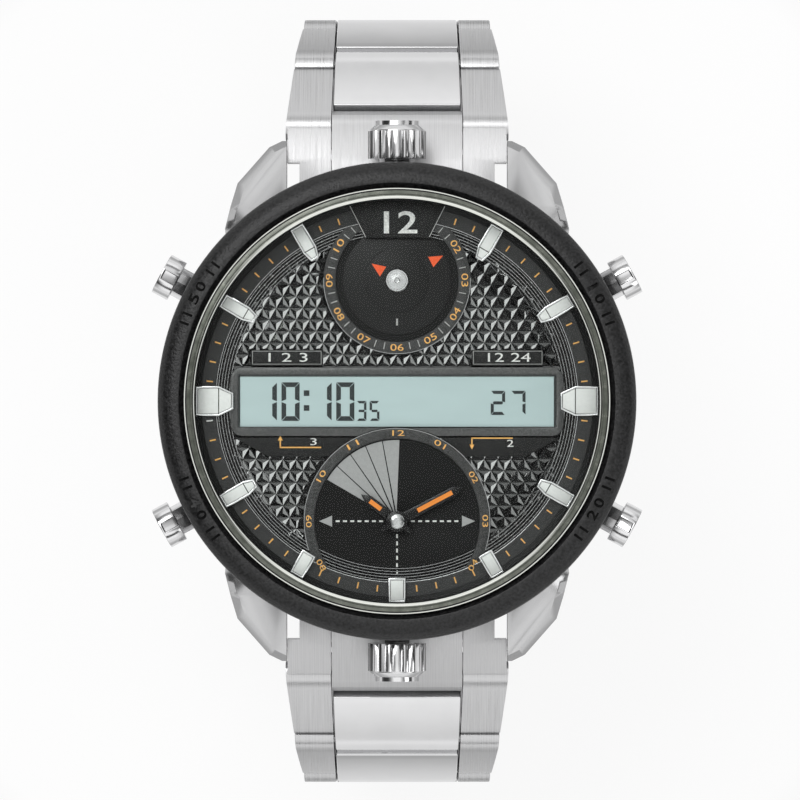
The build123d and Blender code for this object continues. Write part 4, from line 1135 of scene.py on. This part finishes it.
class WATCH_OT_bracelet(bpy.types.Operator):
    """Splits each bracelet unit into polished middles and brushed outers with rounded edges"""
    bl_idname = "watch.bracelet"
    bl_label = "Bracelet"

    def execute(self, context):
        sizes = context.scene.watch_bracelet
        brushed = brushed_steel()
        mirror = polished_steel("link mirror", 0.05)
        for hour in (12, 6):
            for count in range(1, 7):
                node = f"link_{hour}_{count}"
                unit = worked_copy(node, f"{node}_outers", 0, brushed)
                pick(unit)
                bpy.ops.object.mode_set(mode="EDIT")
                bpy.ops.mesh.select_all(action="SELECT")
                bpy.ops.mesh.separate(type="LOOSE")
                bpy.ops.object.mode_set(mode="OBJECT")
                parts = [item for item in context.selected_objects]
                middle = min(parts, key=lambda item: max(abs(v.co.x) for v in item.data.vertices))
                middle.name = f"{node}_middle"
                middle.data.materials.clear()
                middle.data.materials.append(mirror)
                reach = max(vertex.co.x for vertex in middle.data.vertices)
                for vertex in middle.data.vertices:
                    vertex.co.x *= 1 - sizes.groove / reach
                near, far = (PIVOTS.get(f"strand_{hour}_hinge_{count + step}") for step in (0, 1))
                for item in parts:
                    if far is not None:
                        along = (far - near).normalized()
                        across = Vector((1, 0, 0) if hour == 12 else (-1, 0, 0))
                        self.crown(item, along, across.cross(along), sizes.crown)
                        width = sizes.far_roll * (1.6 if item == middle else 1)
                        self.roll_far_end(item, along, across.cross(along), width)
                    smoothed(rounded(item, sizes.edge))
        return {"FINISHED"}

    def crown(self, item, along, outward, depth):
        """Curves a unit's outer face along the bracelet: its two ends sink by a depth."""
        places = [vertex.co.dot(along) for vertex in item.data.vertices]
        low, high = min(places), max(places)
        middle, half = (low + high) / 2, (high - low) / 2
        top = max(vertex.co.dot(outward) for vertex in item.data.vertices)
        pick(item)
        bpy.ops.object.mode_set(mode="EDIT")
        for step in range(1, 8):
            bpy.ops.mesh.select_all(action="SELECT")
            bpy.ops.mesh.bisect(plane_co=along * (low + (high - low) * step / 8), plane_no=along)
        bpy.ops.object.mode_set(mode="OBJECT")
        for vertex in item.data.vertices:
            if vertex.co.dot(outward) > top - 0.5 * MM:
                vertex.co -= outward * depth * ((vertex.co.dot(along) - middle) / half) ** 2

    def roll_far_end(self, item, along, outward, width):
        """Rounds the outer edge of a unit's far end more than its other edges."""
        reach = {edge.index: self.distance(item, edge, along + outward) for edge in item.data.edges}
        limit = max(value for value in reach.values() if value is not None) - 0.03 * MM
        picked = {tuple(item.data.edges[index].vertices) for index, value in reach.items()
                  if value is not None and value > limit}
        places = {tuple(item.data.vertices[index].co) for pair in picked for index in pair}
        rolled(item, width, lambda first, second: tuple(first) in places and tuple(second) in places)

    def distance(self, item, edge, direction):
        """How far out an edge across the bracelet lies, or nothing for any other edge."""
        first, second = (item.data.vertices[index].co for index in edge.vertices)
        if hypot(first.y - second.y, first.z - second.z) > 0.01 * MM or abs(first.x - second.x) < MM:
            return None
        return first.dot(direction)


class WATCH_OT_clasp(bpy.types.Operator):
    """Dresses the clasp's cover, blades and side buttons"""
    bl_idname = "watch.clasp"
    bl_label = "Clasp"

    def execute(self, context):
        brushed = brushed_steel()
        smoothed(worked_copy("clasp_cover", "clasp_cover_brushed", 0.2 * MM, brushed))
        for blade in ("clasp_outer_blade", "clasp_inner_blade"):
            smoothed(worked_copy(blade, f"{blade}_polished", 0.1 * MM, polished_steel("blade steel", 0.2, patchy=0.1)))
        for side in ("left", "right"):
            worked_copy(f"clasp_button_{side}", f"clasp_button_{side}_rounded", 0.1 * MM, polished_steel())
        return {"FINISHED"}


class WATCH_OT_movement(bpy.types.Operator):
    """Gives the hidden movement its plastics, board and cell"""
    bl_idname = "watch.movement"
    bl_label = "Movement"

    def execute(self, context):
        coat_node("movement_holder", coated("spacer plastic", (0.62, 0.61, 0.57), 0, 0.5))
        coat_node("circuit_board", coated("board green", (0.02, 0.12, 0.05), 0, 0.4))
        coat_node("battery", turned_steel("cell steel", 0.3))
        coat_node("dial_motors", coated("motor plastic", (0.2, 0.2, 0.21), 0, 0.5))
        return {"FINISHED"}


class WATCH_OT_stage(bpy.types.Operator):
    """Adds the white floor, the world, the lamps and the camera"""
    bl_idname = "watch.stage"
    bl_label = "Stage"

    def execute(self, context):
        sizes = context.scene.watch_stage
        context.scene.view_settings.view_transform = "Standard"
        self.add_floor()
        self.add_world(context)
        self.add_lamp("key_lamp", (-0.22, 0.28, 0.66), (0.4, 0.35), sizes.lamp_power)
        self.add_lamp("right_lamp", (0.4125, -0.238, 0.33), (0.3, 0.2), sizes.lamp_power * 0.2)
        self.add_lamp("right_fill", (0.4125, 0.238, 0.33), (0.3, 0.2), sizes.lamp_power * 0.085)
        self.add_camera(context, sizes)
        return {"FINISHED"}

    def add_floor(self):
        start_clean()
        bpy.ops.mesh.primitive_circle_add(vertices=96, radius=1.6, fill_type="NGON", location=(0, 0, -0.0001))
        floor = bpy.context.object
        floor.name = "floor"
        settle(floor)
        material, nodes, links, shader = blank_material("floor with painted shade ring")
        coordinates = nodes.new("ShaderNodeTexCoord")
        reach = nodes.new("ShaderNodeVectorMath")
        reach.operation = "LENGTH"
        links.new(coordinates.outputs["Object"], reach.inputs[0])
        # White where the photograph shows it, darker close around it and pale again far off, for the steel to mirror
        # The darker ring close round the watch is painted shade
        fade = nodes.new("ShaderNodeValToRGB")
        fade.color_ramp.interpolation = "EASE"
        stops = ((0.0615, 1.0), (0.092, 0.5), (0.14, 0.6), (0.3, 0.95), (1.0, 1.1))
        self.set_levels(fade.color_ramp, stops)
        links.new(reach.outputs["Value"], fade.inputs["Fac"])
        links.new(fade.outputs["Color"], shader.inputs["Base Color"])
        shader.inputs["Roughness"].default_value = 0.9
        glow = nodes.new("ShaderNodeEmission")
        glow.inputs["Strength"].default_value = 1.0
        links.new(fade.outputs["Color"], glow.inputs["Color"])
        path = nodes.new("ShaderNodeLightPath")
        seen = self.sum_node(nodes, links, "MAXIMUM", path.outputs["Is Camera Ray"], path.outputs["Is Glossy Ray"])
        seen = self.sum_node(nodes, links, "MAXIMUM", seen, path.outputs["Is Transmission Ray"])
        share = nodes.new("ShaderNodeMath")
        share.operation = "MULTIPLY"
        share.inputs[1].default_value = 0.85
        links.new(seen, share.inputs[0])
        mixed = nodes.new("ShaderNodeMixShader")
        links.new(share.outputs["Value"], mixed.inputs["Fac"])
        links.new(shader.outputs["BSDF"], mixed.inputs[1])
        links.new(glow.outputs["Emission"], mixed.inputs[2])
        links.new(mixed.outputs["Shader"], nodes["Material Output"].inputs["Surface"])
        floor.data.materials.append(material)

    def add_world(self, context):
        """A studio whose walls differ along and across the bracelet: a level for each height of view."""
        world = bpy.data.worlds.get("studio") or bpy.data.worlds.new("studio")
        context.scene.world = world
        world.use_nodes = True
        nodes = world.node_tree.nodes
        links = world.node_tree.links
        nodes.clear()
        coordinates = nodes.new("ShaderNodeTexCoord")
        split = nodes.new("ShaderNodeSeparateXYZ")
        links.new(coordinates.outputs["Generated"], split.inputs["Vector"])
        across = self.sum_node(nodes, links, "ABSOLUTE", split.outputs["X"])
        along = self.sum_node(nodes, links, "ABSOLUTE", split.outputs["Y"])
        both = self.sum_node(nodes, links, "ADD", across, along)
        share = self.sum_node(nodes, links, "DIVIDE", along, both)
        smooth = nodes.new("ShaderNodeMapRange")
        smooth.interpolation_type = "SMOOTHSTEP"
        smooth.inputs["From Min"].default_value = 0.35
        smooth.inputs["From Max"].default_value = 0.65
        links.new(share, smooth.inputs["Value"])
        mixed = nodes.new("ShaderNodeMixShader")
        ends = nodes.new("ShaderNodeMixShader")
        links.new(smooth.outputs["Result"], mixed.inputs["Fac"])
        links.new(ends.outputs["Shader"], mixed.inputs[2])
        upper = self.sum_node(nodes, links, "GREATER_THAN", split.outputs["Y"])
        upper.node.inputs[1].default_value = 0.0
        links.new(upper, ends.inputs["Fac"])
        sides = ((0.0, 0.3), (0.1, 0.1), (0.28, 0.04), (0.6, 0.05), (0.75, 0.16), (0.88, 0.4), (0.96, 0.9), (1.0, 1.05))
        lower = ((0.0, 0.85), (0.1, 1.05), (0.22, 1.15), (0.38, 1.3), (0.42, 0.07), (0.58, 0.07), (0.62, 1.2), (0.9, 1.2),
                 (1.0, 1.05))
        higher = ((0.0, 0.85), (0.1, 1.05), (0.22, 1.15), (0.38, 1.3), (0.42, 0.35), (0.58, 0.35), (0.62, 0.9), (0.88, 0.95),
                  (0.95, 1.2), (1.0, 1.05))
        for stops, socket in ((sides, mixed.inputs[1]), (lower, ends.inputs[1]), (higher, ends.inputs[2])):
            ramp = nodes.new("ShaderNodeValToRGB")
            self.set_levels(ramp.color_ramp, stops)
            background = nodes.new("ShaderNodeBackground")
            links.new(split.outputs["Z"], ramp.inputs["Fac"])
            links.new(ramp.outputs["Color"], background.inputs["Color"])
            links.new(background.outputs["Background"], socket)
        output = nodes.new("ShaderNodeOutputWorld")
        links.new(mixed.outputs["Shader"], output.inputs["Surface"])

    def set_levels(self, band, stops):
        """Fills a colour ramp with grey levels at their places."""
        for element, (place, level) in zip((band.elements[0], band.elements[1]), (stops[0], stops[-1])):
            element.position = place
            element.color = (level, level, level, 1)
        for place, level in stops[1:-1]:
            band.elements.new(place).color = (level, level, level, 1)

    def sum_node(self, nodes, links, operation, *values):
        """One step of arithmetic on node outputs."""
        step = nodes.new("ShaderNodeMath")
        step.operation = operation
        for socket, value in zip(step.inputs, values):
            links.new(value, socket)
        return step.outputs["Value"]

    def add_lamp(self, name, place, size, power):
        """A soft lamp of a given width and height that looks at the dial."""
        start_clean()
        bpy.ops.object.light_add(type="AREA", location=place)
        lamp = bpy.context.object
        lamp.name = name
        lamp.data.shape = "RECTANGLE"
        lamp.data.size, lamp.data.size_y = size
        lamp.data.energy = power
        aim = Vector((0, 0, 0.05)) - Vector(place)
        lamp.rotation_euler = aim.to_track_quat("-Z", "Y").to_euler()

    def add_camera(self, context, sizes):
        start_clean()
        # The photograph's centre lies a little right of and above the dial's centre
        place = (0.32 * MM, 0.11 * MM, BEZEL_HIGH[2] + sizes.camera_height)
        bpy.ops.object.camera_add(location=place, rotation=(0, 0, 0))
        camera = bpy.context.object
        camera.name = "photo_camera"
        camera.data.sensor_width = 36
        camera.data.lens = 36 * sizes.camera_height / sizes.view_width
        camera.data.clip_start = 0.01
        context.scene.camera = camera


class WATCH_PT_pieces(bpy.types.Panel):
    """Lists the watch's pieces and sizes"""
    bl_idname = "WATCH_PT_pieces"
    bl_label = "Watch"
    bl_space_type = "VIEW_3D"
    bl_region_type = "UI"
    bl_category = "Watch"

    def draw(self, context):
        layout = self.layout
        for group, kind in GROUPS.items():
            box = layout.box()
            for name in kind.__annotations__:
                box.prop(getattr(context.scene, group), name)
        for operator in OPERATORS:
            layout.operator(operator.bl_idname)


OPERATORS = (
    WATCH_OT_stage,
    WATCH_OT_bezel,
    WATCH_OT_crystal,
    WATCH_OT_minute_track,
    WATCH_OT_dial_pattern,
    WATCH_OT_small_dials,
    WATCH_OT_display,
    WATCH_OT_hour_markers,
    WATCH_OT_discs,
    WATCH_OT_hands,
    WATCH_OT_dial_labels,
    WATCH_OT_case,
    WATCH_OT_buttons,
    WATCH_OT_bracelet,
    WATCH_OT_clasp,
    WATCH_OT_movement,
)


def register():
    for kind in (*GROUPS.values(), *OPERATORS, WATCH_PT_pieces):
        bpy.utils.register_class(kind)
    for name, kind in GROUPS.items():
        setattr(bpy.types.Scene, name, bpy.props.PointerProperty(type=kind))


def unregister():
    for name in GROUPS:
        delattr(bpy.types.Scene, name)
    for kind in reversed((*GROUPS.values(), *OPERATORS, WATCH_PT_pieces)):
        bpy.utils.unregister_class(kind)


def main():
    register()
    for operator in OPERATORS:
        group, name = operator.bl_idname.split(".")
        getattr(getattr(bpy.ops, group), name)()


if __name__ == "__main__":
    main()
